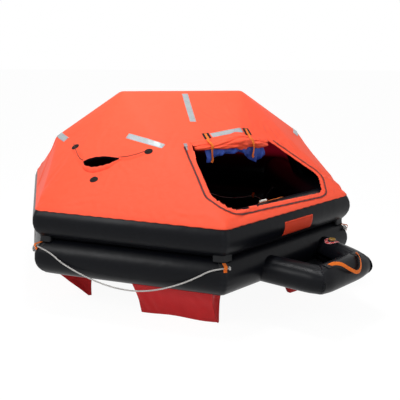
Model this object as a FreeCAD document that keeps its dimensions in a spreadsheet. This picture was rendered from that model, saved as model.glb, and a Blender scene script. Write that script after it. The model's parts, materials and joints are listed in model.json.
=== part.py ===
"""Inflated canopy liferaft for eight people: two stacked hexagonal buoyancy tubes, a floor, an arch
tube that carries the canopy, a boarding ramp and five ballast pockets.

Millimetres, +Z up. The origin is on the raft's vertical centre line, level with the lower edges of
the ballast pockets. The arch stands in the XZ plane. Corner "front" points along -Y; the doorway and
ramp are on the side to its right, and the lookout is on the side to its left.
"""
import FreeCAD, Part
import math
import os
import Sketcher

from FreeCAD import Placement, Rotation, Vector

DOC = FreeCAD.newDocument("liferaft")
UP = Vector(0, 0, 1)

# Driving dimensions: alias, value, meaning
DIMENSIONS = [
    ("side_len", 1240, "hexagon side on the tube centre line"),
    ("tube_dia", 290, "diameter of both buoyancy tubes"),
    ("tube_step", 270, "height between the two tube centres"),
    ("pocket_drop", 265, "from the pockets' lower edges to the lower tube"),
    ("fit_gap", 0.3, "clearance between soft solids"),
    ("floor_thick", 5, "floor membrane"),
    ("floor_rise", 40, "floor above the lower tube's lowest line"),
    ("arch_dia", 150, "diameter of the arch tube"),
    ("arch_half_flat", 478, "half of the arch's level top"),
    ("arch_crown", 1446, "height of the arch's top centre line"),
    ("knee_x", 958, "arch knee, from the centre"),
    ("knee_height", 1119, "arch knee height"),
    ("foot_x", 1104, "arch foot, from the centre"),
    ("canopy_thick", 3, "canopy cloth, with its coating and seams"),
    ("canopy_ridge_half", 34, "half width of the canopy's strip over the arch"),
    ("hem_angle", 33, "canopy hem on the upper tube, degrees above its middle"),
    ("corner_lift", 8.5, "canopy raised at its front and rear corners, clear of the tube's mitre"),
    ("ramp_dia", 200, "diameter of the boarding ramp's tube"),
    ("ramp_rise", 122, "ramp tube centre above the lower tube's lowest line"),
    ("ramp_root_a", 350, "first arm's root, along the boarding side"),
    ("ramp_root_b", 1040, "second arm's root, along the boarding side"),
    ("ramp_end_a", 465, "first arm's end"),
    ("ramp_end_b", 915, "second arm's end"),
    ("ramp_reach", 495, "from the side's centre line to the ramp's cross tube"),
    ("ramp_floor_thick", 4, "ramp floor cloth"),
    ("pocket_len", 580, "length of a ballast pocket"),
    ("pocket_top_out", 88, "pocket's outer seam, outside the tube's centre line"),
    ("pocket_top_in", 262, "pocket's inner seam, inside the tube's centre line"),
    ("pocket_wall", 3, "pocket cloth"),
    ("pocket_hem", 24, "width of the weighted hem at a pocket's lower edge"),
    ("tape_width", 50, "width of the reflective tapes"),
    ("tape_thick", 1, "thickness of tapes and patches"),
    ("zip_width", 20, "width of the door zip's tape"),
    ("zip_thick", 2.5, "thickness of the door zip's tape"),
    ("zip_margin", 30, "from the door's edge to the zip"),
    ("rope_dia", 11, "lifeline"),
    ("line_dia", 5, "lookout cords"),
    ("grab_dia", 8, "inner grab line"),
    ("webbing_wide", 25, "handle and strap webbing"),
    ("webbing_narrow", 20, "webbing of the door's ties"),
    ("webbing_thick", 3, "thickness of all webbing"),
    ("valve_flange_dia", 64, "valve flange"),
    ("valve_flange_thick", 4, "valve flange"),
    ("valve_barrel_dia", 44, "valve barrel, let into the tube"),
    ("valve_barrel_len", 34, "valve barrel below the flange"),
    ("valve_bore_dia", 32, "valve bore"),
    ("valve_collar_dia", 48, "raised collar round the valve bore"),
    ("valve_collar_rise", 8, "collar above the flange"),
    ("valve_run_gap", 0.05, "radial running clearance in the valve bore"),
    ("valve_cap_dia", 54, "valve cap"),
    ("valve_cap_thick", 9, "valve cap above the collar"),
    ("valve_plug_len", 9, "cap plug inside the bore"),
    ("poppet_travel", 4, "how far the poppet is pressed in"),
    ("poppet_thick", 6, "poppet disc"),
    ("relief_depth", 17, "relief valve barrel below its flange"),
    ("relief_rise", 12, "relief valve cup above its seat"),
    ("bottle_dia", 140, "gas bottle"),
    ("bottle_len", 520, "gas bottle without its head"),
    ("bottle_dome", 35, "length of the bottle's rounded ends"),
    ("bottle_x", 640, "gas bottle, from the centre towards the right side"),
    ("head_len", 62, "inflation head"),
    ("head_width", 46, "inflation head"),
    ("hose_dia", 16, "inflation hose"),
    ("inlet_dia", 40, "flange of a hose inlet"),
    ("inlet_rise", 18, "hose inlet above the tube"),
]

SHEET = DOC.addObject("Spreadsheet::Sheet", "Dims")
for row, (alias, value, meaning) in enumerate(DIMENSIONS, start=1):
    SHEET.set(f"A{row}", alias)
    SHEET.set(f"B{row}", str(value))
    SHEET.set(f"C{row}", meaning)
    SHEET.setAlias(f"B{row}", alias)
DOC.recompute()


def dim(alias):
    """A driving dimension, read from the sheet."""
    return float(getattr(SHEET, alias))


# Levels and offsets that follow from the driving dimensions
TUBE_R = dim("tube_dia") / 2
LOW_Z = dim("pocket_drop") + TUBE_R
HIGH_Z = LOW_Z + dim("tube_step")
JOIN_Z = (LOW_Z + HIGH_Z) / 2
APOTHEM = dim("side_len") * math.cos(math.radians(30))
FLOOR_Z = dim("pocket_drop") + dim("floor_rise")
GAP = dim("fit_gap")
PARTS = {}

# The hexagon's corners, as angles in plan, and its sides from one corner to the next
CORNER_ANGLES = {"left": 210, "front": 270, "right": 330, "rear_right": 30, "rear": 90, "rear_left": 150}
CORNERS = list(CORNER_ANGLES)
SIDES = {"lookout": 0, "boarding": 1, "right": 2, "rear_right": 3, "rear_left": 4, "left": 5}


def plan(angle, radius, height=0.0):
    """A point given by its plan angle in degrees, radius and height."""
    turn = math.radians(angle)
    return Vector(radius * math.cos(turn), radius * math.sin(turn), height)


def side_axes(side):
    """Start corner of a side, the direction along it and its outward direction."""
    corner_angle = CORNER_ANGLES[CORNERS[SIDES[side]]]
    return plan(corner_angle, dim("side_len")), plan(corner_angle + 120, 1), plan(corner_angle + 30, 1)


def side_point(side, along, out, height):
    """A point along a side, out from the tube's centre line, at a height."""
    start, direction, outward = side_axes(side)
    return start + direction * along + outward * out + UP * height


def side_placement(side, along, out, height):
    """A placement whose X runs along the side and whose Y points into the raft."""
    _, direction, outward = side_axes(side)
    turn = Rotation(direction, outward * -1, UP, "ZXY")
    return Placement(side_point(side, along, out, height), turn)


def keep(node, obj):
    """Registers a document object as the sub-part of that name."""
    obj.Label = node
    PARTS[node] = obj
    return obj


def feature(node, shape):
    """A sub-part whose shape is made with Part's functions."""
    obj = DOC.addObject("Part::Feature", node)
    obj.Shape = shape
    return keep(node, obj)


def one_solid(shape):
    """The shape's largest solid, with its seams between flush faces removed."""
    return max(shape.removeSplitter().Solids, key=lambda solid: solid.Volume)


# ---------------------------------------------------------------- how the pieces are made

def sweep(name, route, edge_count, radius_rule, centre_rules, facing):
    """A round section, bound to the sheet, carried along a route with mitred corners."""
    circle = DOC.addObject("Part::Circle", name + "_section")
    circle.setExpression("Radius", radius_rule)
    circle.Placement = Placement(Vector(), facing)
    for axis, rule in zip("xyz", centre_rules):
        circle.setExpression(f"Placement.Base.{axis}", rule)
    DOC.recompute()
    swept = DOC.addObject("Part::Sweep", name)
    swept.Sections = [circle]
    swept.Spine = (route, [f"Edge{k + 1}" for k in range(edge_count)])
    swept.Solid = True
    swept.Frenet = False
    swept.Transition = "Right corner"
    return swept


def route_sweep(name, points, radius_rule):
    """A round tube along straight runs with mitred corners."""
    route = DOC.addObject("Part::Feature", name + "_route")
    route.Shape = Part.makePolygon(points)
    start = [f"{value}" for value in points[0]]
    return sweep(name, route, len(points) - 1, radius_rule, start, Rotation(UP, points[1] - points[0]))


def cut(name, base, tool):
    """Base without tool."""
    obj = DOC.addObject("Part::Cut", name)
    obj.Base = base
    obj.Tool = tool
    return obj


def joined(name, pieces):
    """Several objects as one tool."""
    obj = DOC.addObject("Part::MultiFuse", name)
    obj.Shapes = pieces
    return obj


def outline_sketch(body, name, role, corners):
    """A closed outline whose corners stand where the sheet's expressions put them."""
    sketch = body.newObject("Sketcher::SketchObject", name)
    plane = next(item for item in body.Origin.OriginFeatures if item.Role == role)
    sketch.AttachmentSupport = [(plane, "")]
    sketch.MapMode = "FlatFace"
    spots = [Vector(*(float(sketch.evalExpression(rule)) for rule in corner)) for corner in corners]
    count = len(spots)
    for k in range(count):
        sketch.addGeometry(Part.LineSegment(spots[k], spots[(k + 1) % count]))
    for k in range(count):
        sketch.addConstraint(Sketcher.Constraint("Coincident", k, 2, (k + 1) % count, 1))
    for k, corner in enumerate(corners):
        for kind, axis, rule, value in (
            ("DistanceX", -2, corner[0], spots[k].x),
            ("DistanceY", -1, corner[1], spots[k].y),
        ):
            if rule == "0":
                sketch.addConstraint(Sketcher.Constraint("PointOnObject", k, 1, axis))
                continue
            index = sketch.addConstraint(Sketcher.Constraint(kind, -1, 1, k, 1, value))
            sketch.setExpression(f"Constraints[{index}]", rule)
    return sketch


def turned(name, corners, base, axis):
    """A body turned about an axis from (radius, height) corners."""
    body = DOC.addObject("PartDesign::Body", name)
    sketch = outline_sketch(body, name + "_profile", "XZ_Plane", corners)
    turning = body.newObject("PartDesign::Revolution", name + "_turning")
    turning.Profile = sketch
    turning.ReferenceAxis = (sketch, ["V_Axis"])
    turning.Angle = 360
    body.Placement = Placement(base, Rotation(UP, axis))
    DOC.recompute()
    return body


def extruded(name, role, corners, length_rule, place):
    """A body padded from an outline."""
    body = DOC.addObject("PartDesign::Body", name)
    sketch = outline_sketch(body, name + "_profile", role, corners)
    pad = body.newObject("PartDesign::Pad", name + "_pad")
    pad.Profile = sketch
    pad.setExpression("Length", length_rule)
    body.Placement = place
    DOC.recompute()
    return body


def closed_solid(triangles):
    """A solid bounded by triangles given as corner points."""
    shell = Part.Shell([Part.Face(Part.makePolygon([p, q, r, p])) for p, q, r in triangles])
    solid = Part.Solid(shell)
    if solid.Volume < 0:
        solid.reverse()
    return solid


def ribbon(stations, width, thick):
    """Flat webbing through stations of (point under it, direction across it, direction of its face)."""
    rings = []
    for point, across, facing in stations:
        half, rise = Vector(across) * (width / 2), Vector(facing) * thick
        rings.append([point - half, point + half, point + half + rise, point - half + rise])
    triangles = []
    for near, far in zip(rings, rings[1:]):
        for k in range(4):
            following = (k + 1) % 4
            triangles += [(near[k], near[following], far[following]), (near[k], far[following], far[k])]
    for ring, order in ((rings[0], (0, 3, 2, 1)), (rings[-1], (0, 1, 2, 3))):
        corners = [ring[k] for k in order]
        triangles += [(corners[0], corners[1], corners[2]), (corners[0], corners[2], corners[3])]
    return closed_solid(triangles)


# ---------------------------------------------------------------- buoyancy tubes and floor

def hexagon_sweep(name, radius_rule, height_rule):
    """A mitred hexagonal ring of round section."""
    polygon = DOC.addObject("Part::RegularPolygon", name + "_path")
    polygon.Polygon = 6
    polygon.setExpression("Circumradius", "Dims.side_len")
    polygon.Placement = Placement(Vector(), Rotation(UP, 30))
    polygon.setExpression("Placement.Base.z", height_rule)
    centre = ("Dims.side_len * cos(30 deg)", "0", height_rule)
    return sweep(name, polygon, 6, radius_rule, centre, Rotation(Vector(1, 0, 0), 90))


LOW_RULE = "Dims.pocket_drop + Dims.tube_dia / 2"
HIGH_RULE = LOW_RULE + " + Dims.tube_step"
ring_low = hexagon_sweep("ring_low", "Dims.tube_dia / 2", LOW_RULE)
ring_high = hexagon_sweep("ring_high", "Dims.tube_dia / 2", HIGH_RULE)


def half_space(name, above):
    """A slab above or below the plane where the two tubes are bonded."""
    slab = DOC.addObject("Part::Box", name)
    for edge in ("Length", "Width"):
        slab.setExpression(edge, "4 * Dims.side_len")
    slab.setExpression("Height", "Dims.tube_dia")
    for axis in ("x", "y"):
        slab.setExpression(f"Placement.Base.{axis}", "-2 * Dims.side_len")
    middle = f"{LOW_RULE} + Dims.tube_step / 2"
    slab.setExpression("Placement.Base.z", middle if above else f"{middle} - Dims.tube_dia")
    return slab


lower_blank = cut("lower_tube_blank", ring_low, half_space("above_join", True))
upper_blank = cut("upper_tube_blank", ring_high, half_space("below_join", False))
DOC.recompute()

# ---------------------------------------------------------------- cords and soft tubes

def thick_route(points, radius):
    """A mitred round tube's shape, for layers that lie on a swept tube."""
    pipe = Part.BRepOffsetAPI.MakePipeShell(Part.makePolygon(points))
    pipe.add(Part.Wire(Part.makeCircle(radius, points[0], points[1] - points[0])))
    pipe.setTransitionMode(1)
    pipe.build()
    pipe.makeSolid()
    return pipe.shape()


def cord_tube(node, points, diameter):
    """A cord's tube: straight runs joined by tangent arcs, each as large as its runs allow."""
    edges = []
    radii = []
    begin = points[0]
    for before, corner, after in zip(points, points[1:], points[2:]):
        run_in, run_out = corner - before, after - corner
        half_turn = run_in.getAngle(run_out) / 2
        reach = 0.45 * min(run_in.Length, run_out.Length)
        inward = Vector(run_in).normalize() * -reach
        outward = Vector(run_out).normalize() * reach
        radius = reach / math.tan(half_turn)
        radii.append(radius)
        arc_start, arc_end = corner + inward, corner + outward
        to_centre = (inward + outward).normalize() * (reach / math.sin(half_turn) / math.cos(half_turn))
        centre_gap = math.hypot(radius, reach) - radius
        middle = corner + Vector(to_centre).normalize() * centre_gap
        edges.append(Part.LineSegment(begin, arc_start).toShape())
        edges.append(Part.Arc(arc_start, middle, arc_end).toShape())
        begin = arc_end
    edges.append(Part.LineSegment(begin, points[-1]).toShape())
    path = Part.Wire(edges)
    section = Part.Wire(Part.makeCircle(diameter / 2, points[0], points[1] - points[0]))
    tube = path.makePipeShell([section], True, False)
    expected = math.pi * diameter ** 2 / 4 * path.Length
    print(f"{node}: length {path.Length:.0f}, smallest radius {min(radii):.0f},"
          f" volume share {tube.Volume / expected:.4f}")
    return feature(node, tube)


# ---------------------------------------------------------------- arch and boarding ramp

def arch_points():
    """The arch's centre line from the left foot to the right foot."""
    half = [
        (dim("foot_x"), HIGH_Z + TUBE_R * 0.69),
        (dim("knee_x"), dim("knee_height")),
        (dim("arch_half_flat"), dim("arch_crown")),
    ]
    left = [Vector(-x, 0, z) for x, z in half]
    right = [Vector(x, 0, z) for x, z in reversed(half)]
    return left + right


keep("arch_tube", cut("arch_tube", route_sweep("arch_blank", arch_points(), "Dims.arch_dia / 2"), ring_high))

RAMP_Z = dim("pocket_drop") + dim("ramp_rise")
RAMP_R = dim("ramp_dia") / 2
RAMP_PLAN = [
    (dim("ramp_root_a"), 0),
    (dim("ramp_end_a"), dim("ramp_reach")),
    (dim("ramp_end_b"), dim("ramp_reach")),
    (dim("ramp_root_b"), 0),
]
ramp_path = [side_point("boarding", along, out, RAMP_Z) for along, out in RAMP_PLAN]
ramp_sweep = route_sweep("ramp_sweep", ramp_path, "Dims.ramp_dia / 2")
ramp_blank = cut("ramp_blank", ramp_sweep, ring_low)
DOC.recompute()

RAMP_FLOOR_LEVEL = 0.6
ramp_floor_outline = Part.makePolygon([
    side_point("boarding", along, out, RAMP_Z - RAMP_R * RAMP_FLOOR_LEVEL)
    for along, out in RAMP_PLAN + RAMP_PLAN[:1]
])
ramp_floor_blank = Part.Face(ramp_floor_outline).extrude(UP * dim("ramp_floor_thick"))
feature("ramp_floor", one_solid(ramp_floor_blank.cut(ramp_sweep.Shape).cut(ring_low.Shape)))


# ---------------------------------------------------------------- canopy

CLOTH_R = TUBE_R + GAP + dim("canopy_thick")
CLOTH_ARCH_R = dim("arch_dia") / 2 + GAP + dim("canopy_thick")


def shoulder_tangent():
    """Angle at which cloth from the arch's shoulder touches the upper tube, in radians."""
    shoulder_x = dim("arch_half_flat") + CLOTH_ARCH_R * 0.3
    away = shoulder_x * 0.5 - APOTHEM
    rise = dim("arch_crown") + CLOTH_ARCH_R - HIGH_Z
    return math.atan2(rise, away) - math.acos(CLOTH_R / math.hypot(away, rise))


def canopy_points(lift):
    """The canopy's outer corners; lift moves every face outwards by that much."""
    radius = CLOTH_R + lift
    hem = math.radians(dim("hem_angle"))
    bend = (shoulder_tangent() + hem) / 2
    bend_r = radius / math.cos((shoulder_tangent() - hem) / 2)
    bend_out, bend_z = APOTHEM + bend_r * math.cos(bend), HIGH_Z + bend_r * math.sin(bend)
    hem_out, hem_z = APOTHEM + radius * math.cos(hem), HIGH_Z + radius * math.sin(hem)
    points = {}
    for corner in ("left", "front", "right"):
        points["bend_" + corner] = plan(CORNER_ANGLES[corner], bend_out / math.cos(math.radians(30)), bend_z)
        points["hem_" + corner] = plan(CORNER_ANGLES[corner], hem_out / math.cos(math.radians(30)), hem_z)
    points["bend_front"].z += dim("corner_lift")
    over = CLOTH_ARCH_R + lift
    line = arch_points()
    runs = [(line[k + 1] - line[k]).normalize() for k in range(5)]
    normals = [Vector(-run.z, 0, run.x) for run in runs]
    miters = [normals[0]] + [
        (normals[k] + normals[k + 1]) / (1 + normals[k].dot(normals[k + 1])) for k in range(4)
    ] + [normals[4]]
    stems = [line[k] + miters[k] * over for k in range(6)]
    half = Vector(0, -dim("canopy_ridge_half"), 0)
    for name, index in (("foot", 0), ("knee", 1), ("shoulder", 2)):
        for side, at in (("left", index), ("right", 5 - index)):
            points[f"{name}_{side}"] = stems[at] + half
            points[f"{name}_{side}_mid"] = Vector(stems[at])
    for side, sign in (("left", -1), ("right", 1)):
        points[f"bend_{side}_mid"] = Vector(sign * bend_out, 0, bend_z)
        points[f"hem_{side}_mid"] = Vector(sign * hem_out, 0, hem_z)
    return points


def canopy_faces():
    """The front half of the canopy as triangles, outside seen counter-clockwise."""
    faces = [("shoulder_left", "bend_front", "shoulder_right")]
    for side, near in (("left", False), ("right", True)):
        half = [
            (f"shoulder_{side}", "bend_front", f"bend_{side}"),
            (f"shoulder_{side}", f"bend_{side}", f"knee_{side}"),
            (f"knee_{side}", f"bend_{side}", f"foot_{side}"),
            (f"foot_{side}", f"bend_{side}", f"foot_{side}_mid"),
            (f"foot_{side}_mid", f"bend_{side}", f"bend_{side}_mid"),
            (f"bend_{side}", "bend_front", "hem_front"),
            (f"bend_{side}", "hem_front", f"hem_{side}"),
            (f"bend_{side}_mid", f"bend_{side}", f"hem_{side}"),
            (f"bend_{side}_mid", f"hem_{side}", f"hem_{side}_mid"),
            (f"knee_{side}", f"foot_{side}", f"foot_{side}_mid"),
            (f"knee_{side}", f"foot_{side}_mid", f"knee_{side}_mid"),
            (f"shoulder_{side}", f"knee_{side}", f"knee_{side}_mid"),
            (f"shoulder_{side}", f"knee_{side}_mid", f"shoulder_{side}_mid"),
        ]
        faces += [tuple(reversed(face)) for face in half] if side == "left" else half
    faces += [
        ("shoulder_left_mid", "shoulder_left", "shoulder_right"),
        ("shoulder_left_mid", "shoulder_right", "shoulder_right_mid"),
    ]
    return faces


def skin(inner_lift, outer_lift):
    """A closed layer of the canopy's front half between two lifts off its outer face."""
    inner, outer = canopy_points(inner_lift), canopy_points(outer_lift)
    faces = canopy_faces()
    edges = {}
    for a, b, c in faces:
        for start, end in ((a, b), (b, c), (c, a)):
            edges[(start, end)] = edges.get((start, end), 0) + 1
    rim = [(a, b) for (a, b) in edges if (b, a) not in edges]
    triangles = [(outer[a], outer[b], outer[c]) for a, b, c in faces]
    triangles += [(inner[c], inner[b], inner[a]) for a, b, c in faces]
    for a, b in rim:
        triangles += [(outer[b], outer[a], inner[a]), (outer[b], inner[a], inner[b])]
    return closed_solid(triangles)


def facet_axes(side):
    """Origin, along, upslope and outward directions of a front panel's main facet."""
    points = canopy_points(0)
    origin = points["bend_front"]
    if side == "right":
        along = (points["bend_right"] - origin).normalize()
    else:
        origin = points["bend_left"]
        along = (points["bend_front"] - origin).normalize()
    toward = points[f"shoulder_{side}"] - origin
    outward = along.cross(toward).normalize()
    return origin, along, outward.cross(along), outward


def facet_point(side, along, upslope, lift=0.0):
    """A point on a front panel's main facet, or lifted off it."""
    origin, run, slope, outward = facet_axes(side)
    return origin + run * along + slope * upslope + outward * lift


def canopy_lift(side, along, upslope):
    """How far the canopy lies off the main facet's plane, which it leaves beyond that facet's edges."""
    points = canopy_points(0)
    origin = facet_point(side, along, upslope)
    outward = facet_axes(side)[3]
    lifts = [0.0]
    for a, b, c in (
        ("shoulder_left", "bend_front", "shoulder_right"),
        ("shoulder_right", "bend_right", "knee_right"),
        ("shoulder_left", "bend_left", "knee_left"),
    ):
        normal = (points[b] - points[a]).cross(points[c] - points[a])
        if abs(normal.dot(outward)) > 0.2 * normal.Length:
            lifts.append((points[a] - origin).dot(normal) / normal.dot(outward))
    return min(lifts)


def surface_point(side, along, upslope, lift=0.0):
    """A point at a lift off the canopy, given in a main facet's own directions."""
    return facet_point(side, along, upslope, canopy_lift(side, along, upslope) + lift)


def surface_directions(side, along, upslope):
    """Unit directions across, up and out of the canopy at a point."""
    step = 10
    across = surface_point(side, along + step, upslope) - surface_point(side, along - step, upslope)
    slope = surface_point(side, along, upslope + step) - surface_point(side, along, upslope - step)
    facing = across.cross(slope).normalize()
    return across.normalize(), facing.cross(across).normalize(), facing


def rounded_wire(side, corners, lift, closed=True):
    """An outline on a main facet; each corner is (along, upslope, fillet radius)."""
    points = [facet_point(side, along, upslope, lift) for along, upslope, _ in corners]
    count = len(corners)
    edges = []
    ends = {}
    for k, (_, _, radius) in enumerate(corners):
        before, here, after = points[k - 1], points[k], points[(k + 1) % count]
        if radius == 0 or (not closed and k in (0, count - 1)):
            ends[k] = (here, here)
            continue
        back, ahead = (before - here).normalize(), (after - here).normalize()
        half = back.getAngle(ahead) / 2
        reach = radius / math.tan(half)
        middle = here + (back + ahead).normalize() * (radius / math.sin(half) - radius)
        ends[k] = (here + back * reach, here + ahead * reach)
        edges.append((k, Part.Arc(ends[k][0], middle, ends[k][1]).toShape()))
    arcs = dict(edges)
    path = []
    for k in range(count if closed else count - 1):
        if k in arcs:
            path.append(arcs[k])
        following = (k + 1) % count
        path.append(Part.LineSegment(ends[k][1], ends[following][0]).toShape())
    return Part.Wire(path)


def facet_prism(side, corners, low, high):
    """A block standing on a rounded outline, from one lift to another."""
    _, _, _, outward = facet_axes(side)
    face = Part.Face(rounded_wire(side, corners, low))
    return face.extrude(outward * (high - low))


DOOR = [(312, 800, 0), (100, 270, 100), (125, 95, 90), (1110, 62, 90), (1225, 225, 90), (966, 640, 0)]
LOOKOUT = [
    (198, 446, 8), (222, 408, 25), (300, 392, 60), (392, 428, 120),
    (478, 498, 8), (350, 508, 150), (266, 490, 100),
]
CUT_DEPTH = 260


def grown(corners, margin):
    """An outline moved outwards all round by a margin."""
    count = len(corners)
    moved = []
    for k, (x, y, radius) in enumerate(corners):
        ax, ay, _ = corners[k - 1]
        bx, by, _ = corners[(k + 1) % count]
        ua, ub = math.hypot(x - ax, y - ay), math.hypot(bx - x, by - y)
        na, nb = ((y - ay) / ua, (ax - x) / ua), ((by - y) / ub, (x - bx) / ub)
        scale = margin / (1 + na[0] * nb[0] + na[1] * nb[1])
        fillet = radius + margin if radius else 0
        moved.append((x + (na[0] + nb[0]) * scale, y + (na[1] + nb[1]) * scale, fillet))
    return moved


canopy_front = skin(-dim("canopy_thick"), 0)
canopy_rear = canopy_front.mirror(Vector(), Vector(0, 1, 0))
door_cut = facet_prism("right", DOOR, -CUT_DEPTH, CUT_DEPTH)
lookout_cut = facet_prism("left", LOOKOUT, -CUT_DEPTH / 4, CUT_DEPTH / 4)
feature("canopy_front", one_solid(canopy_front.cut(door_cut).cut(lookout_cut)))
feature("canopy_rear", canopy_rear)


# ---------------------------------------------------------------- applied on the canopy

APPLIED_LIFT = 0.6
trim_layer = skin(APPLIED_LIFT, APPLIED_LIFT + dim("tape_thick"))
zip_layer = skin(APPLIED_LIFT, APPLIED_LIFT + dim("zip_thick"))


def applied(node, prism, layer=trim_layer):
    """A thin piece that follows the canopy's surface inside a prism."""
    return feature(node, one_solid(layer.common(prism)))


def tape_outline(start, end, width):
    """Four corners of a straight tape between two facet points."""
    run = (end[0] - start[0], end[1] - start[1])
    length = math.hypot(*run)
    side_x, side_y = -run[1] / length * width / 2, run[0] / length * width / 2
    return [
        (start[0] + side_x, start[1] + side_y, 0),
        (start[0] - side_x, start[1] - side_y, 0),
        (end[0] - side_x, end[1] - side_y, 0),
        (end[0] + side_x, end[1] + side_y, 0),
    ]


def oval(side, along, upslope, size_along, size_up, tilt=0.0):
    """An upright oval block on a main facet."""
    _, run, slope, outward = facet_axes(side)
    centre = facet_point(side, along, upslope, -CUT_DEPTH / 2)
    ellipse = Part.Ellipse(Vector(), max(size_along, size_up) / 2, min(size_along, size_up) / 2)
    face = Part.Face(Part.Wire(ellipse.toShape()))
    face.rotate(Vector(), UP, tilt if size_along >= size_up else tilt + 90)
    face.Placement = Placement(centre, Rotation(run, slope, outward, "ZXY")).multiply(face.Placement)
    return face.extrude(outward * CUT_DEPTH)


def block(centre, size_x, size_y, size_z):
    """A box about a centre, square to the axes."""
    return Part.makeBox(size_x, size_y, size_z, centre - Vector(size_x / 2, size_y / 2, size_z / 2))


TAPE_W = dim("tape_width")
KNEE_TAPE_X, KNEE_TAPE_Z, TAPE_REACH = 992, 1185, 150
KNEE_TAPE_W, KNEE_TAPE_DEEP = 62, 200
CREST_TAPE = Vector(6, -222, 1400)
CREST_LEN, CREST_DEEP = 330, 500
tape_left = facet_prism("left", tape_outline((459, 721), (765, 645), TAPE_W), -CUT_DEPTH, CUT_DEPTH)
tape_door = facet_prism("right", tape_outline((519, 808), (780, 767), TAPE_W), -CUT_DEPTH, CUT_DEPTH)
crest_block = block(CREST_TAPE, TAPE_W, CREST_LEN, CREST_DEEP)
applied("tape_left_panel", tape_left)
applied("tape_door", tape_door)
applied("tape_crest", crest_block)
knee_blocks = [
    block(Vector(sign * KNEE_TAPE_X, -TAPE_REACH / 2, KNEE_TAPE_Z), KNEE_TAPE_W, TAPE_REACH, KNEE_TAPE_DEEP)
    for sign in (-1, 1)
]
feature("tapes_shoulder", Part.makeCompound([one_solid(trim_layer.common(box)) for box in knee_blocks]))
rear_tapes = [
    trim_layer.common(box).mirror(Vector(), Vector(0, 1, 0)) for box in (tape_left, tape_door, crest_block)
]
feature("tapes_rear", Part.makeCompound([one_solid(tape) for tape in rear_tapes]))


def zip_slider():
    """The door's slider with its pull tab, near the zip's upper left end."""
    (ax, ay, _), (bx, by, _) = DOOR[0], DOOR[1]
    length = math.hypot(bx - ax, by - ay)
    down = ((bx - ax) / length, (by - ay) / length)
    offset = dim("zip_margin") + dim("zip_width") / 2
    centre = (ax + down[0] * SLIDER_DOWN + down[1] * offset, ay + down[1] * SLIDER_DOWN - down[0] * offset)
    across, slope, facing = surface_directions("right", *centre)
    lift = APPLIED_LIFT + dim("zip_thick") + 2 * GAP
    body = Part.makeBox(24, 36, 7, Vector(-12, -18, 0)).fuse(Part.makeBox(11, 60, 3, Vector(-5.5, -62, 5)))
    turn = Rotation(Vector(0, 0, 1), math.degrees(math.atan2(-down[0], -down[1])) * -1)
    body.Placement = Placement(surface_point("right", *centre) + facing * lift,
                               Rotation(across, slope, facing, "ZXY").multiply(turn))
    return one_solid(body)


SLIDER_DOWN = 40
zip_outer = facet_prism("right", grown(DOOR, dim("zip_margin") + dim("zip_width")), -CUT_DEPTH, CUT_DEPTH)
zip_inner = facet_prism("right", grown(DOOR, dim("zip_margin")), -CUT_DEPTH, CUT_DEPTH)
above_door = [(-400, 922, 0), (1400, 551, 0), (1400, 1500, 0), (-400, 1500, 0)]
zip_top = facet_prism("right", above_door, -CUT_DEPTH, CUT_DEPTH)
applied("door_zip", zip_outer.cut(zip_inner).cut(zip_top), zip_layer)

feature("zip_slider", zip_slider())

TIE_PATCH_W = 56
tie_patch_blocks = [
    facet_prism("right", tape_outline(top, low, TIE_PATCH_W), -CUT_DEPTH, CUT_DEPTH)
    for top, low in (((492, 850), (470, 776)), ((822, 781), (808, 711)))
]
feature("tie_patches", Part.makeCompound([one_solid(trim_layer.common(box)) for box in tie_patch_blocks]))

SLEEVE_CLEAR, SLEEVE_WALL = 0.5, 3
SLEEVE_LOW, SLEEVE_HIGH = -20, 16
lookout_outer = facet_prism("left", grown(LOOKOUT, -SLEEVE_CLEAR), SLEEVE_LOW, SLEEVE_HIGH)
lookout_inner = facet_prism("left", grown(LOOKOUT, -SLEEVE_CLEAR - SLEEVE_WALL), SLEEVE_LOW - 1, SLEEVE_HIGH + 1)
feature("lookout_sleeve", one_solid(lookout_outer.cut(lookout_inner)))
CORD_PATCH_LONG, CORD_PATCH_HIGH, CORD_PATCH_TILT = 62, 50, 20
feature("lookout_patches", Part.makeCompound([
    one_solid(trim_layer.common(oval("left", along, upslope, CORD_PATCH_LONG, CORD_PATCH_HIGH, CORD_PATCH_TILT)))
    for along, upslope in ((66, 600), (668, 584), (336, 290))
]))


# ---------------------------------------------------------------- rolled door

ROLL_R = 44
ROLL_LIFT, LINING_LIFT = -28, -40
ROLL_FLAT, ROLL_TAPER = 0.75, 0.7
LINING_SHARE, LINING_FLAT, LINING_RISE = 0.62, 0.8, 7
roll_line = [(345, 748), (520, 706), (700, 664), (900, 619)]


def roll(points, radius, lift, flat):
    """A soft roll: an oval section carried along a line on the door's facet, smaller at its ends."""
    _, _, slope, outward = facet_axes("right")
    sections = []
    for k, (along, upslope) in enumerate(points):
        taper = ROLL_TAPER if k in (0, len(points) - 1) else 1.0
        ahead = points[min(k + 1, len(points) - 1)]
        behind = points[max(k - 1, 0)]
        run = surface_point("right", *ahead) - surface_point("right", *behind)
        wire = Part.Wire(Part.Ellipse(Vector(), radius * taper, radius * taper * flat).toShape())
        turn = Rotation(slope, outward, run, "ZXY")
        wire.Placement = Placement(surface_point("right", along, upslope, lift), turn)
        sections.append(wire)
    return Part.makeLoft(sections, True, False)


feature("door_flap_roll", roll(roll_line, ROLL_R, ROLL_LIFT, ROLL_FLAT))
lining_line = [(along + 5, upslope - 2 * ROLL_R + LINING_RISE) for along, upslope in roll_line]
feature("door_lining_roll", roll(lining_line, ROLL_R * LINING_SHARE, LINING_LIFT, LINING_FLAT))


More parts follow.
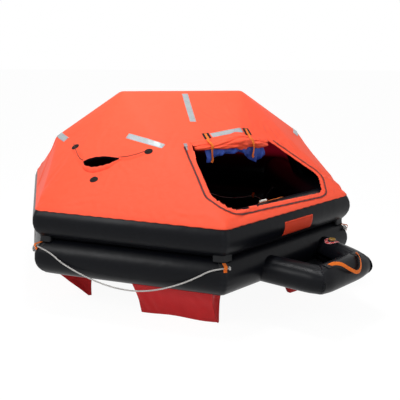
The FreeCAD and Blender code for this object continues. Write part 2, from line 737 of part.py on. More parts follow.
def tie_strap(start, roll_centre):
    """A door tie: from its patch, down over the rolled flap, with its end hanging below."""
    top = APPLIED_LIFT + dim("tape_thick") + 2 * GAP
    over = ROLL_LIFT + ROLL_R * ROLL_FLAT + 5
    (start_along, start_up), (roll_along, roll_up) = start, roll_centre
    route = [
        (start_along, start_up, top), ((start_along + roll_along) / 2, roll_up + 62, top),
        (roll_along, roll_up + 28, over), (roll_along, roll_up - 24, over),
        (roll_along, roll_up - 60, over - 12), (roll_along, roll_up - 120, over - 39),
    ]
    stations = []
    for along, upslope, lift in route:
        across, _, facing = surface_directions("right", along, upslope)
        stations.append((surface_point("right", along, upslope) + facing * lift, across, facing))
    return ribbon(stations, dim("webbing_narrow"), dim("webbing_thick"))


feature("tie_straps", Part.makeCompound([
    tie_strap((489, 842), (448, 723)),
    tie_strap((820, 773), (788, 644)),
]))


# ---------------------------------------------------------------- lookout cords


def lookout_cord(node, route):
    """A cord on the lookout panel through (along, upslope, lift) points."""
    cord_tube(node, [surface_point("left", *spot) for spot in route], dim("line_dia"))


lookout_cord("lookout_cord_left", [
    (201.2, 445.3, 10), (177, 450.7, 10), (146, 484, 10), (112, 532, 9), (84, 572, 7), (66, 600, 4.3),
])
lookout_cord("lookout_cord_right", [
    (465.1, 494, 10), (489, 501.4, 10), (536, 510, 10), (588, 534, 9), (636, 562, 7), (668, 584, 4.3),
])


# ---------------------------------------------------------------- layers, patches and tabs on the tubes

PATCH_THICK = 2


def tube_band(centre_z, lift, thick):
    """A layer on a hexagonal tube's surface."""
    corners = [plan(angle, dim("side_len"), centre_z) for angle in range(30, 331, 60)]
    middle = (corners[0] + corners[-1]) / 2
    loop = [middle] + corners + [middle]
    return thick_route(loop, TUBE_R + lift + thick).cut(thick_route(loop, TUBE_R + lift))


def radial_block(angle, radius, width, depth, low, high):
    """A box square to a plan direction, centred on a plan radius."""
    box = Part.makeBox(depth, width, high - low, Vector(radius - depth / 2, -width / 2, low))
    box.rotate(Vector(), UP, angle)
    return box


def side_block(side, start, end, inward_start, inward_end, low, high):
    """A box square to a side."""
    box = Part.makeBox(end - start, inward_end - inward_start, high - low)
    box.Placement = side_placement(side, start, -inward_start, low)
    return box


low_band = tube_band(LOW_Z, GAP, PATCH_THICK)
high_band = tube_band(HIGH_Z, GAP, PATCH_THICK)
ramp_band = thick_route(ramp_path, RAMP_R + GAP + PATCH_THICK).cut(thick_route(ramp_path, RAMP_R + GAP))


def tube_height(degrees):
    """Height on a buoyancy tube's skin, from the angle above its middle."""
    return TUBE_R * math.sin(math.radians(degrees))


patch_box = side_block("boarding", 505, 828, -205, 0, HIGH_Z + tube_height(-32), HIGH_Z + tube_height(11))
feature("boarding_patch", one_solid(high_band.common(patch_box)))

strap_box = side_block("boarding", 440, 697, 35, 60, HIGH_Z, HIGH_Z + 2 * TUBE_R)
feature("boarding_strap", one_solid(high_band.common(strap_box)))
TOGGLE_R, TOGGLE_LEN, TOGGLE_IN = 9, 66, 47.5
toggle_lift = math.sqrt((TUBE_R + 2 * GAP + PATCH_THICK + TOGGLE_R) ** 2 - TOGGLE_IN ** 2)
toggle = DOC.addObject("Part::Cylinder", "strap_toggle")
toggle.Radius, toggle.Height = TOGGLE_R, TOGGLE_LEN
toggle.Placement = Placement(
    side_point("boarding", 450, -TOGGLE_IN, HIGH_Z + toggle_lift),
    Rotation(UP, side_axes("boarding")[1]),
)
keep("strap_toggle", toggle)

TAB_MID, TAB_HALF, TAB_WIDTH = 98, 18, 60
LOOP_R, LOOP_WIRE = 15, 3.5
COS30 = math.cos(math.radians(30))
tab_out = math.sqrt((TUBE_R + GAP + PATCH_THICK) ** 2 - TAB_MID ** 2)
loop_radius = (APOTHEM + tab_out) / COS30 + LOOP_R * 1.1


def lifeline_tab(corner):
    """A patch round a corner of the lower tube with a webbing loop on it."""
    angle = CORNER_ANGLES[corner]
    low, high = LOW_Z + TAB_MID - TAB_HALF, LOW_Z + TAB_MID + TAB_HALF
    patch = low_band.common(radial_block(angle, loop_radius, TAB_WIDTH, 160, low, high))
    ring = Part.makeTorus(LOOP_R, LOOP_WIRE, plan(angle, loop_radius, LOW_Z + TAB_MID), plan(angle + 90, 1))
    return one_solid(one_solid(patch).fuse(one_solid(ring.cut(low_core))))


low_core = tube_band(LOW_Z, -PATCH_THICK, PATCH_THICK + GAP).fuse(ring_low.Shape)
feature("lifeline_tabs", Part.makeCompound([lifeline_tab(corner) for corner in CORNERS]))

GUSSET_OUT, GUSSET_LOW, GUSSET_HIGH, GUSSET_WIDTH = 112, -14, 46, 130
tubes_core = ring_low.Shape.fuse(ring_high.Shape)


def corner_gusset(corner):
    """A filler plate bridging the crease between the two tubes at a corner."""
    radius = (APOTHEM + GUSSET_OUT) / COS30
    box = radial_block(
        CORNER_ANGLES[corner], radius - 30, GUSSET_WIDTH, 60, JOIN_Z + GUSSET_LOW, JOIN_Z + GUSSET_HIGH
    )
    return one_solid(box.cut(tubes_core))


feature("corner_gussets", Part.makeCompound([corner_gusset(corner) for corner in CORNERS]))


# ---------------------------------------------------------------- lifeline and grab line

# Points along one side: distance along it, out from the tube's centre line, above the tube's middle
LIFELINE_SPAN = [
    (45, 145, 62), (130, 158, 4), (245, 160, -50), (375, 161, -97), (515, 161, -130), (660, 161, -140),
    (800, 161, -121), (930, 160, -79), (1045, 160, -28), (1140, 156, 26), (1205, 143, 66),
]


LOOP_SAG = LOOP_R - LOOP_WIRE - dim("rope_dia") / 2 - GAP


def lifeline_corner(corner):
    """Where the lifeline turns through a corner's loop."""
    return plan(CORNER_ANGLES[corner], loop_radius + 13, LOW_Z + TAB_MID + 9 - LOOP_SAG)


def lifeline_end(corner, past):
    """A point of the lifeline's end run through a corner's loop, past its middle."""
    start = plan(CORNER_ANGLES[corner], loop_radius, LOW_Z + TAB_MID - LOOP_SAG)
    return start + plan(CORNER_ANGLES[corner] + 90, 1) * past


lifeline_route = [lifeline_end("front", 22), lifeline_end("front", -40)]
for side_name in ("lookout", "left", "rear_left", "rear_right", "right"):
    for along, out, rise in reversed(LIFELINE_SPAN):
        lifeline_route.append(side_point(side_name, along, out, LOW_Z + rise))
    if side_name != "right":
        lifeline_route.append(lifeline_corner(CORNERS[SIDES[side_name]]))
lifeline_route += [lifeline_end("right", 40), lifeline_end("right", -22)]
cord_tube("lifeline", lifeline_route, dim("rope_dia"))

GRAB_IN, GRAB_LOOP_R, GRAB_WIRE = 157, 11, 3
GRAB_SAG = GRAB_LOOP_R - GRAB_WIRE - dim("grab_dia") / 2 - GAP


def grab_tab(side, along, rise):
    """A patch and loop on the lower tube's inner face."""
    box = side_block(side, along - 30, along + 30, 0, 200, LOW_Z + rise - 20, LOW_Z + rise + 20)
    centre = side_point(side, along, -GRAB_IN, LOW_Z + rise + GRAB_SAG)
    ring = Part.makeTorus(GRAB_LOOP_R, GRAB_WIRE, centre, side_axes(side)[1])
    return one_solid(one_solid(low_band.common(box)).fuse(one_solid(ring.cut(low_core))))


feature("grab_line_tabs", Part.makeCompound([
    grab_tab("right", 1020, 30), grab_tab("rear_right", 180, 44), grab_tab("rear_right", 640, 30),
]))
GRAB_ROUTE = [
    ("right", 1000, 157, 30), ("right", 1042, 158, 30), ("right", 1085, 162, 20), ("right", 1120, 172, 24),
    ("rear_right", 130, 170, 32), ("rear_right", 158, 160, 42), ("rear_right", 205, 160, 41),
    ("rear_right", 290, 165, 18), ("rear_right", 400, 168, 2), ("rear_right", 510, 166, 6),
    ("rear_right", 594, 158, 30), ("rear_right", 662, 157, 30),
]
grab_points = [side_point(side, along, -inward, LOW_Z + rise) for side, along, inward, rise in GRAB_ROUTE]
cord_tube("grab_line", grab_points,
          dim("grab_dia"))


# ---------------------------------------------------------------- ramp handle and ring label

HANDLE_ROUTE = [(530, 507, 92), (560, 530, 108), (600, 566, 104), (660, 602, 62), (725, 616, 30),
                (780, 606, 44), (822, 572, 88), (850, 530, 108), (872, 507, 92)]
ramp_skin = thick_route(ramp_path, RAMP_R + GAP + PATCH_THICK)


def handle_patch(along):
    """The base of one end of the ramp's handle."""
    box = side_block("boarding", along - 32, along + 32, -540, -475, RAMP_Z + 40, RAMP_Z + 2 * RAMP_R)
    return one_solid(ramp_band.common(box))


feature("handle_patches", Part.makeCompound([handle_patch(532), handle_patch(870)]))


def ramp_handle():
    """The webbing loop over the ramp's outer end."""
    side_run, side_out = side_axes("boarding")[1:]
    centre = side_point("boarding", 700, dim("ramp_reach") - 40, RAMP_Z)
    stations = []
    spots = [side_point("boarding", along, out, RAMP_Z + rise) for along, out, rise in HANDLE_ROUTE]
    for k, spot in enumerate(spots):
        ahead = spots[min(k + 1, len(spots) - 1)] - spots[max(k - 1, 0)]
        away = spot - centre
        away = (away - ahead * (away.dot(ahead) / ahead.dot(ahead))).normalize()
        stations.append((spot, ahead.cross(away).normalize(), away))
    strap = ribbon(stations, dim("webbing_wide"), dim("webbing_thick"))
    return one_solid(strap.cut(ramp_skin))


feature("ramp_handle", ramp_handle())


# ---------------------------------------------------------------- ballast pockets

# Each pocket: its side, where it starts along it, how far inwards its lower edge hangs
POCKETS = {
    "front": ("lookout", 640, 100),
    "left": ("left", 525, 250),
    "boarding": ("boarding", 655, 60),
    "rear_right": ("rear_right", 330, 180),
    "rear_left": ("rear_left", 330, 180),
}
tube_clear = thick_route(
    [(plan(30, dim("side_len"), LOW_Z) + plan(330, dim("side_len"), LOW_Z)) / 2]
    + [plan(angle, dim("side_len"), LOW_Z) for angle in range(30, 331, 60)]
    + [(plan(30, dim("side_len"), LOW_Z) + plan(330, dim("side_len"), LOW_Z)) / 2],
    TUBE_R + GAP,
)
ramp_clear = thick_route(ramp_path, RAMP_R + GAP)


def pocket_corners(keel_in, shrink):
    """A pocket's section as (inward, height) rules; shrink gives the inside of its cloth."""
    top = f"Dims.pocket_drop + Dims.floor_rise - Dims.fit_gap + {1 if shrink else 0}"
    wall = "Dims.pocket_wall" if shrink else "0"
    outer_foot = f"{LOW_RULE} - sqrt(Dims.tube_dia ^ 2 / 4 - Dims.pocket_top_out ^ 2) - Dims.fit_gap"
    keel = f"{wall} * 1.2"
    return [
        (f"-Dims.pocket_top_out + {wall}", outer_foot),
        (f"-Dims.pocket_top_out + {wall}", top),
        (f"Dims.pocket_top_in - {wall}", top),
        (f"{keel_in} + Dims.pocket_hem / 2", keel if shrink else "0"),
        (f"{keel_in} - Dims.pocket_hem / 2", keel if shrink else "0"),
    ]


def pocket(name):
    """An open-topped cloth trough below a tube."""
    side, start, keel_in = POCKETS[name]
    node = f"ballast_pocket_{name}"
    outside = extruded(node + "_outside", "YZ_Plane", pocket_corners(keel_in, False), "Dims.pocket_len",
                       side_placement(side, start, 0, 0))
    inside = extruded(node + "_inside", "YZ_Plane", pocket_corners(keel_in, True),
                      "Dims.pocket_len - 2 * Dims.pocket_wall",
                      side_placement(side, start + dim("pocket_wall"), 0, 0))
    trough = outside.Shape.cut(inside.Shape).cut(tube_clear)
    return feature(node, one_solid(trough.cut(ramp_clear) if name == "boarding" else trough))


for pocket_name in POCKETS:
    pocket(pocket_name)


# ---------------------------------------------------------------- valves

FLANGE_R = "Dims.valve_flange_dia / 2"
BARREL_R = "Dims.valve_barrel_dia / 2"
BORE_R = "Dims.valve_bore_dia / 2"
COLLAR_Z = "Dims.valve_flange_thick + Dims.valve_collar_rise"
SEAT_MARGIN = 1


def seat_sink(tube_r):
    """How deep a valve's flat seat is let into a round tube."""
    half = dim("valve_flange_dia") / 2 + SEAT_MARGIN
    return tube_r - math.sqrt(tube_r ** 2 - half ** 2) + 0.2


def valve_hole(name, base, axis, depth_rule):
    """The hole in a tube's skin for a valve's barrel, with a flat seat for its flange."""
    pieces = []
    for part_name, radius_rule, start_rule in (
        ("barrel", BARREL_R, f"-({depth_rule})"),
        ("seat", f"{FLANGE_R} + {SEAT_MARGIN}", "0"),
    ):
        cylinder = DOC.addObject("Part::Cylinder", f"{name}_hole_{part_name}")
        cylinder.setExpression("Radius", radius_rule)
        cylinder.setExpression("Height", f"{depth_rule} + Dims.valve_flange_dia")
        start = float(SHEET.evalExpression(start_rule))
        cylinder.Placement = Placement(base, Rotation(UP, axis)).multiply(Placement(UP * start, Rotation()))
        pieces.append(cylinder)
    return joined(f"{name}_hole", pieces)


def topping_valve(name, base, axis):
    """Body, sprung poppet and quarter-turn cap of a topping-up valve; returns the hole it needs."""
    port_r, well_z = "Dims.valve_bore_dia / 4", "Dims.valve_flange_thick - Dims.valve_barrel_len"
    keep(f"valve_body_{name}", turned(f"valve_body_{name}", [
        (port_r, "-Dims.valve_barrel_len"), (BARREL_R, "-Dims.valve_barrel_len"), (BARREL_R, "0"),
        (FLANGE_R, "0"), (FLANGE_R, "Dims.valve_flange_thick"),
        ("Dims.valve_collar_dia / 2", "Dims.valve_flange_thick"), ("Dims.valve_collar_dia / 2", COLLAR_Z),
        (BORE_R, COLLAR_Z), (BORE_R, well_z), (port_r, well_z),
    ], base, axis))
    plug_r, cap_r = f"{BORE_R} - Dims.valve_run_gap", "Dims.valve_cap_dia / 2"
    plug_z = f"{COLLAR_Z} + Dims.fit_gap - Dims.valve_plug_len"
    cap_z = f"{COLLAR_Z} + Dims.fit_gap + Dims.valve_cap_thick"
    cap = turned(f"valve_cap_{name}_disc", [
        ("0", plug_z), (plug_r, plug_z), (plug_r, f"{COLLAR_Z} + Dims.fit_gap"),
        (cap_r, f"{COLLAR_Z} + Dims.fit_gap"), (cap_r, f"{cap_z} - 2"), (f"{cap_r} - 2", cap_z), ("0", cap_z),
    ], base, axis)
    grip = DOC.addObject("Part::Box", f"valve_cap_{name}_grip")
    grip.setExpression("Length", "Dims.valve_cap_dia * 0.7")
    grip.Width, grip.Height = 6, 5
    offset = Vector(-dim("valve_cap_dia") * 0.35, -3, float(SHEET.evalExpression(cap_z)) - 0.5)
    grip.Placement = Placement(base, Rotation(UP, axis)).multiply(Placement(offset, Rotation()))
    keep(f"valve_cap_{name}", joined(f"valve_cap_{name}", [cap, grip]))
    disc_top = f"{plug_z} - 1"
    disc_low = f"{disc_top} - Dims.poppet_thick"
    stem_low = f"{well_z} + Dims.poppet_travel + 1"
    stem_r = "Dims.valve_bore_dia / 6"
    keep(f"valve_poppet_{name}", turned(f"valve_poppet_{name}", [
        ("0", stem_low), (stem_r, stem_low), (stem_r, disc_low), (plug_r, disc_low), (plug_r, disc_top),
        ("0", disc_top),
    ], base, axis))
    return valve_hole(f"valve_{name}", base, axis, "Dims.valve_barrel_len")


def relief_valve(name, side, along, centre_z):
    """A sprung relief valve on a tube's outer face: body and poppet; returns the hole it needs."""
    outward = side_axes(side)[2]
    base = side_point(side, along, TUBE_R - seat_sink(TUBE_R), centre_z)
    port_r, cup_r = "Dims.valve_bore_dia * 0.3", f"{BORE_R} + 1"
    keep(f"relief_body_{name}", turned(f"relief_body_{name}", [
        (port_r, "-Dims.relief_depth"), (BARREL_R, "-Dims.relief_depth"), (BARREL_R, "0"), (FLANGE_R, "0"),
        (FLANGE_R, "Dims.valve_flange_thick"), (BARREL_R, "Dims.relief_rise"), (cup_r, "Dims.relief_rise"),
        (cup_r, "0"), (port_r, "0"),
    ], base, outward))
    stem_r, stem_low = "Dims.valve_bore_dia / 6", "-Dims.relief_depth + 2"
    keep(f"relief_poppet_{name}", turned(f"relief_poppet_{name}", [
        ("0", stem_low), (stem_r, stem_low), (stem_r, "Dims.fit_gap"), (BORE_R, "Dims.fit_gap"), (BORE_R, "5"),
        (f"{BORE_R} - 4", "7"), ("0", "7"),
    ], base, outward))
    return valve_hole(f"relief_{name}", base, outward, "Dims.relief_depth")


RAMP_VALVE_ALONG = 232
upper_seat = side_point("rear_left", 500, -(TUBE_R - seat_sink(TUBE_R)), HIGH_Z)
lower_seat = side_point("rear_right", 860, -(TUBE_R - seat_sink(TUBE_R)), LOW_Z)
ramp_arm = (ramp_path[2] - ramp_path[3]).normalize()
ramp_seat = ramp_path[3] + ramp_arm * RAMP_VALVE_ALONG + UP * (RAMP_R - seat_sink(RAMP_R))
upper_hole = topping_valve("upper", upper_seat, side_axes("rear_left")[2] * -1)
lower_hole = topping_valve("lower", lower_seat, side_axes("rear_right")[2] * -1)
ramp_hole = topping_valve("ramp", ramp_seat, UP)
relief_high = relief_valve("upper", "rear_right", 420, HIGH_Z)
relief_low = relief_valve("lower", "rear_left", 820, LOW_Z)

LABEL_R = 56
label_ring = Part.makeCylinder(LABEL_R, 4 * RAMP_R, ramp_seat - UP * RAMP_R).cut(
    Part.makeCylinder(dim("valve_flange_dia") / 2 + 2 * SEAT_MARGIN, 4 * RAMP_R, ramp_seat - UP * RAMP_R))
label_half = 4 * LABEL_R
label_top = Part.makeBox(2 * label_half, 2 * label_half, 2 * RAMP_R, ramp_seat - Vector(label_half, label_half, RAMP_R))
feature("valve_ring_label", one_solid(ramp_band.common(label_ring).common(label_top)))


# ---------------------------------------------------------------- gas bottle and its hoses

BOTTLE_R = dim("bottle_dia") / 2
STRAP_THICK, STRAP_WIDTH, STRAP_WING = 3, 40, 45
ALONG_Y = Vector(0, 1, 0)
bottle_centre = Vector(dim("bottle_x"), 0, FLOOR_Z - BOTTLE_R - 2 * GAP - STRAP_THICK)
keep("gas_bottle", turned("gas_bottle", [
    ("0", "-Dims.bottle_len / 2"), ("Dims.bottle_dia * 0.28", "-Dims.bottle_len / 2"),
    ("Dims.bottle_dia / 2", "-Dims.bottle_len / 2 + Dims.bottle_dome"),
    ("Dims.bottle_dia / 2", "Dims.bottle_len / 2 - Dims.bottle_dome"),
    ("Dims.bottle_dia * 0.2", "Dims.bottle_len / 2"), ("0", "Dims.bottle_len / 2"),
], bottle_centre, ALONG_Y))

head_block = DOC.addObject("Part::Box", "inflation_head_block")
for edge, alias in (("Length", "head_width"), ("Width", "head_len"), ("Height", "head_width")):
    head_block.setExpression(edge, f"Dims.{alias}")
head_half = dim("head_width") / 2
head_block.Placement.Base = bottle_centre + Vector(-head_half, dim("bottle_len") / 2, -head_half)
inflation_head = DOC.addObject("Part::Chamfer", "inflation_head")
inflation_head.Base = head_block
DOC.recompute()
along_edges = [k + 1 for k, edge in enumerate(head_block.Shape.Edges) if abs(edge.tangentAt(0).y) > 0.9]
inflation_head.Edges = [(k, 6, 6) for k in along_edges]
keep("inflation_head", inflation_head)


def bottle_strap(offset):
    """A band round the bottle with wings bonded to the floor's underside."""
    start = bottle_centre + ALONG_Y * (offset - STRAP_WIDTH / 2)
    outer = Part.makeCylinder(BOTTLE_R + GAP + STRAP_THICK, STRAP_WIDTH, start, ALONG_Y)
    inner = Part.makeCylinder(BOTTLE_R + GAP, STRAP_WIDTH, start, ALONG_Y)
    wing_size = Vector(2 * BOTTLE_R + 2 * STRAP_WING, STRAP_WIDTH, STRAP_THICK)
    wing = Part.makeBox(wing_size.x, wing_size.y, wing_size.z,
                        Vector(start.x - wing_size.x / 2, start.y, FLOOR_Z - STRAP_THICK))
    return one_solid(outer.fuse(wing).cut(inner))


feature("bottle_straps", Part.makeCompound([bottle_strap(offset) for offset in (-150, 150)]))

GROMMET_SPOT = Vector(899, 350, FLOOR_Z)
GROMMET_BORE = dim("hose_dia") / 2 + GAP
floor_hole = DOC.addObject("Part::Cylinder", "floor_hole")
floor_hole.setExpression("Radius", "Dims.hose_dia / 2 + 4")
floor_hole.Height = 100
floor_hole.Placement.Base = GROMMET_SPOT - UP * 50
keep("floor_grommet", turned("floor_grommet", [
    ("Dims.hose_dia / 2 + Dims.fit_gap", "-3"), ("Dims.hose_dia / 2 + 12", "-3"),
    ("Dims.hose_dia / 2 + 12", "0"),
    ("Dims.hose_dia / 2 + 4", "0"), ("Dims.hose_dia / 2 + 4", "Dims.floor_thick"),
    ("Dims.hose_dia / 2 + 12", "Dims.floor_thick"), ("Dims.hose_dia / 2 + 12", "Dims.floor_thick + 3"),
    ("Dims.hose_dia / 2 + Dims.fit_gap", "Dims.floor_thick + 3"),
], GROMMET_SPOT, UP))

floor_plate = DOC.addObject("Part::Prism", "floor_plate")
floor_plate.Polygon = 6
floor_plate.Placement = Placement(Vector(), Rotation(UP, 30))
floor_plate.setExpression("Circumradius", "Dims.side_len")
floor_plate.setExpression("Height", "Dims.floor_thick")
floor_plate.setExpression("Placement.Base.z", "Dims.pocket_drop + Dims.floor_rise")
keep("floor_sheet", cut("floor_sheet", cut("floor_plate_trimmed", floor_plate, ring_low), floor_hole))


def hose_inlet(name, along, inward, centre_z, below):
    """A hose inlet on a tube's skin; returns it, its free end and its direction."""
    rise = math.sqrt(TUBE_R ** 2 - inward ** 2) * (-1 if below else 1)
    foot = side_point("right", along, -inward, centre_z + rise)
    axis = (foot - side_point("right", along, 0, centre_z)).normalize()
    inlet = turned(f"hose_inlet_{name}", [
        ("0", "0"), ("Dims.inlet_dia / 2", "0"), ("Dims.inlet_dia / 2", "3"), ("Dims.hose_dia / 2 + 2", "5"),
        ("Dims.hose_dia / 2 + 2", "Dims.inlet_rise"), ("0", "Dims.inlet_rise"),
    ], foot + axis * 0.2, axis)
    return inlet, foot + axis * (dim("inlet_rise") + 0.2), axis


low_fitting, low_inlet, low_axis = hose_inlet("lower", 850, 60, LOW_Z, True)
high_fitting, high_inlet, high_axis = hose_inlet("upper", 970, 110, HIGH_Z, True)
hose_inlets = DOC.addObject("Part::Compound", "hose_inlets")
hose_inlets.Links = [low_fitting, high_fitting]
keep("hose_inlets", hose_inlets)
head_side = bottle_centre + Vector(head_half, dim("bottle_len") / 2 + 30, 0)
head_end = bottle_centre + ALONG_Y * (dim("bottle_len") / 2 + dim("head_len"))
cord_tube("hose_lower", [
    head_side, head_side + Vector(40, 0, 0), Vector(770, 285, 219), Vector(850, 268, 208),
    Vector(930, 248, 210), low_inlet + low_axis * 40, low_inlet,
], dim("hose_dia"))
cord_tube("hose_upper", [
    head_end, head_end + Vector(0, 40, 0), Vector(676, 398, 222), Vector(760, 402, 214),
    Vector(838, 385, 216), Vector(899, 350, 258), Vector(899, 350, 346), Vector(890, 350, 405),
    Vector(890, 350, 480), high_inlet + high_axis * 44, high_inlet,
], dim("hose_dia"))

# The tubes with their holes
keep("upper_tube", cut("upper_tube", upper_blank, joined("upper_holes", [upper_hole, relief_high])))
keep("lower_tube", cut("lower_tube", lower_blank, joined("lower_holes", [lower_hole, relief_low])))
keep("boarding_ramp", cut("boarding_ramp", ramp_blank, ramp_hole))

# Report of the sub-parts, then the files
DOC.recompute()
os.makedirs("parts", exist_ok=True)
for obj in DOC.Objects:
    if set(obj.State) & {"Invalid", "Error"}:
        raise RuntimeError(f"{obj.Name} failed: {obj.State}")
for node, obj in sorted(PARTS.items()):
    shape = obj.Shape
    if shape.isNull() or not shape.isValid() or shape.Volume <= 0:
        raise RuntimeError(f"{node} has no valid shape")
    shape.exportStep(f"parts/{node}.step")
    box = shape.BoundBox
    print(f"{node}: {len(shape.Solids)} solid, {shape.Volume / 1e6:.3f} litres,"
          f" z {box.ZMin:.1f} to {box.ZMax:.1f}")
print(len(PARTS), "nodes")
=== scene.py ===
"""An inflated eight-person liferaft with its canopy up, dressed for rendering. Lengths are in metres."""
import json
import math
import bmesh
import bpy
import numpy as np
from mathutils import Matrix


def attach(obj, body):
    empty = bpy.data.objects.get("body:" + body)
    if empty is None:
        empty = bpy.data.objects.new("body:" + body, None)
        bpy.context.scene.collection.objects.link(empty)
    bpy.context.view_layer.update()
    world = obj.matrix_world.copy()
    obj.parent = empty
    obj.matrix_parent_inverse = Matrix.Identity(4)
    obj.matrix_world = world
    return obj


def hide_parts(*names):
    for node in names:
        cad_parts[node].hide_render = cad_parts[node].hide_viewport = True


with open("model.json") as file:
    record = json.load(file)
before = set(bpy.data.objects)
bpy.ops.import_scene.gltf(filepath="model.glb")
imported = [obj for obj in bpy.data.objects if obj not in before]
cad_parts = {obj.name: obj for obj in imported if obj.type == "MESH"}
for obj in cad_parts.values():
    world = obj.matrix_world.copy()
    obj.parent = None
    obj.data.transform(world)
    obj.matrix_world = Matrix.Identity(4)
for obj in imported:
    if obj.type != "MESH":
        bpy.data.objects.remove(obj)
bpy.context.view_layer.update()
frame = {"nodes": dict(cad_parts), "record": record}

# ---- the raft's main sizes

SIDE = 1.24                      # side of the hexagon through the tube centres
TUBE_R = 0.145
LOW_Z, HIGH_Z = 0.41, 0.68       # heights of the two tubes' middles
JOIN_Z, JOIN_GAP = 0.545, 0.0004   # level where the tubes are bonded, and half the gap left there
FLOOR_Z = 0.305
RAMP_Z, RAMP_R = 0.387, 0.1
COS30, TAN30 = math.cos(math.radians(30)), math.tan(math.radians(30))
APOTHEM = SIDE * COS30
CLOTH_R, CLOTH_ARCH_R = 0.1483, 0.0783
CORNERS = {"left": 210, "front": 270, "right": 330, "rear_right": 30, "rear": 90, "rear_left": 150}
SIDES = {"lookout": 0, "boarding": 1, "right": 2, "rear_right": 3, "rear_left": 4, "left": 5}
UP = np.array([0.0, 0.0, 1.0])
ARCH_LINE = np.array([(-1.104, 0, 0.78005), (-0.958, 0, 1.119), (-0.478, 0, 1.446),
                      (0.478, 0, 1.446), (0.958, 0, 1.119), (1.104, 0, 0.78005)])


def plan(angle, radius, height=0.0):
    """Point at a bearing in degrees, a distance from the middle and a height."""
    turn = math.radians(angle)
    return np.array([radius * math.cos(turn), radius * math.sin(turn), height])


def unit(vectors):
    """Vectors divided by their lengths."""
    return vectors / np.maximum(np.linalg.norm(vectors, axis=-1, keepdims=True), 1e-12)


def side_axes(side):
    """Start corner, direction along and direction outwards of one side of the hexagon."""
    angle = list(CORNERS.values())[SIDES[side]]
    return plan(angle, SIDE), plan(angle + 120, 1), plan(angle + 30, 1)


def side_point(side, along, out, height):
    """Points given by distance along a side, outwards from its tube's centre line, and height; arrays broadcast."""
    start, run, outward = side_axes(side)
    along, out, height = np.broadcast_arrays(*(np.asarray(v, float) for v in (along, out, height)))
    return start + along[..., None] * run + out[..., None] * outward + height[..., None] * UP


def smooth(x, low, high):
    """Smooth step from 0 at low to 1 at high: 3t^2 - 2t^3."""
    t = np.clip((x - low) / (high - low), 0, 1)
    return t * t * (3 - 2 * t)


def hump(x, width, power=2):
    """Bell from 1 at the middle down to 0: exp(-(x/width)^power)."""
    return np.exp(-(x / width) ** power)


def stacked(*values):
    """Arrays broadcast to one shape and stacked along a new last axis."""
    return np.stack(np.broadcast_arrays(*values), -1)


def squared(rows, columns):
    """Two lists of numbers as the two grids of all their pairs."""
    return np.meshgrid(rows, columns, indexing="ij")


def noise(x, y, cell, seed):
    """Value noise from -1 to 1: random numbers on a square lattice, blended with 3t^2 - 2t^3 both ways."""
    table = np.random.default_rng(seed).uniform(-1, 1, (64, 64))
    x, y = np.broadcast_arrays(np.asarray(x, float) / cell + 900, np.asarray(y, float) / cell + 900)
    ix, iy = np.floor(x).astype(int), np.floor(y).astype(int)
    fx, fy = smooth(x - ix, 0, 1), smooth(y - iy, 0, 1)
    near = table[ix % 64, iy % 64] * (1 - fx) + table[(ix + 1) % 64, iy % 64] * fx
    far = table[ix % 64, (iy + 1) % 64] * (1 - fx) + table[(ix + 1) % 64, (iy + 1) % 64] * fx
    return near * (1 - fy) + far * fy


def spline(points, step):
    """Catmull-Rom curve through points, sampled about every step."""
    p = np.asarray(points, float)
    p = np.vstack([2 * p[:1] - p[1:2], p, 2 * p[-1:] - p[-2:-1]])
    rows = []
    for a, b, c, d in zip(p[:-3], p[1:-2], p[2:-1], p[3:]):
        t = np.linspace(0, 1, max(2, int(np.linalg.norm(c - b) / step) + 1), endpoint=False)[:, None]
        rows.append(0.5 * (2 * b + (c - a) * t + (2 * a - 5 * b + 4 * c - d) * t**2 + (3 * b - a - 3 * c + d) * t**3))
    return np.vstack(rows + [p[-2:-1]])


def travelled(points):
    """Distance run along a line of points, from 0."""
    return np.concatenate([[0], np.cumsum(np.linalg.norm(np.diff(points, axis=0), axis=1))])


def headings(points):
    """Unit direction of a line at each of its points."""
    return unit(np.gradient(points, axis=0))


# ---- meshes

class Cloth:
    """Vertices, faces and metre-scale map of one piece while it is being made."""

    def __init__(self):
        self.points, self.maps, self.faces, self.marks, self.sides, self.count = [], [], [], [], [], 0

    def grid(self, points, metres=None, mark=None, keep=None, flip=False, second=None):
        """Quads between neighbours of a (rows, columns, 3) array; second marks those that take the other finish."""
        rows, cols = points.shape[:2]
        if metres is None:
            metres = np.stack(squared(np.arange(rows), np.arange(cols)), -1) * 0.01
        index = np.arange(rows * cols).reshape(rows, cols) + self.count
        quads = np.stack([index[:-1, :-1], index[:-1, 1:], index[1:, 1:], index[1:, :-1]], -1).reshape(-1, 4)
        sides = np.zeros(len(quads), dtype=np.int32) if second is None else second.reshape(-1).astype(np.int32)
        if keep is not None:
            quads, sides = quads[keep.reshape(-1)], sides[keep.reshape(-1)]
        self.sides.append(sides)
        self.faces += (quads[:, ::-1] if flip else quads).tolist()
        self.points.append(points.reshape(-1, 3))
        self.maps.append(metres.reshape(-1, 2))
        self.marks.append(np.broadcast_to(0.0 if mark is None else mark, (rows, cols)).reshape(-1))
        self.count += rows * cols
        return self

    def piece(self, name, slot, outward=True, *more):
        """The piece as a welded, smooth object of the raft's body; more are the finishes after its slot's own."""
        mesh = bpy.data.meshes.new(name)
        points, metres = np.vstack(self.points), np.vstack(self.maps)
        mesh.from_pydata(points.tolist(), [], self.faces)
        corners = np.empty(len(mesh.loops), dtype=np.int32)
        mesh.loops.foreach_get("vertex_index", corners)
        mesh.polygons.foreach_set("material_index", np.concatenate(self.sides))
        layer = mesh.uv_layers.new(name="metres")
        layer.data.foreach_set("uv", metres[corners].astype(np.float32).ravel())
        shade = mesh.attributes.new("mark", "FLOAT", "POINT")
        shade.data.foreach_set("value", np.concatenate(self.marks).astype(np.float32))
        weld(mesh, outward)
        mesh.shade_smooth()
        return fitted(placed(name, mesh), name, slot, *more)


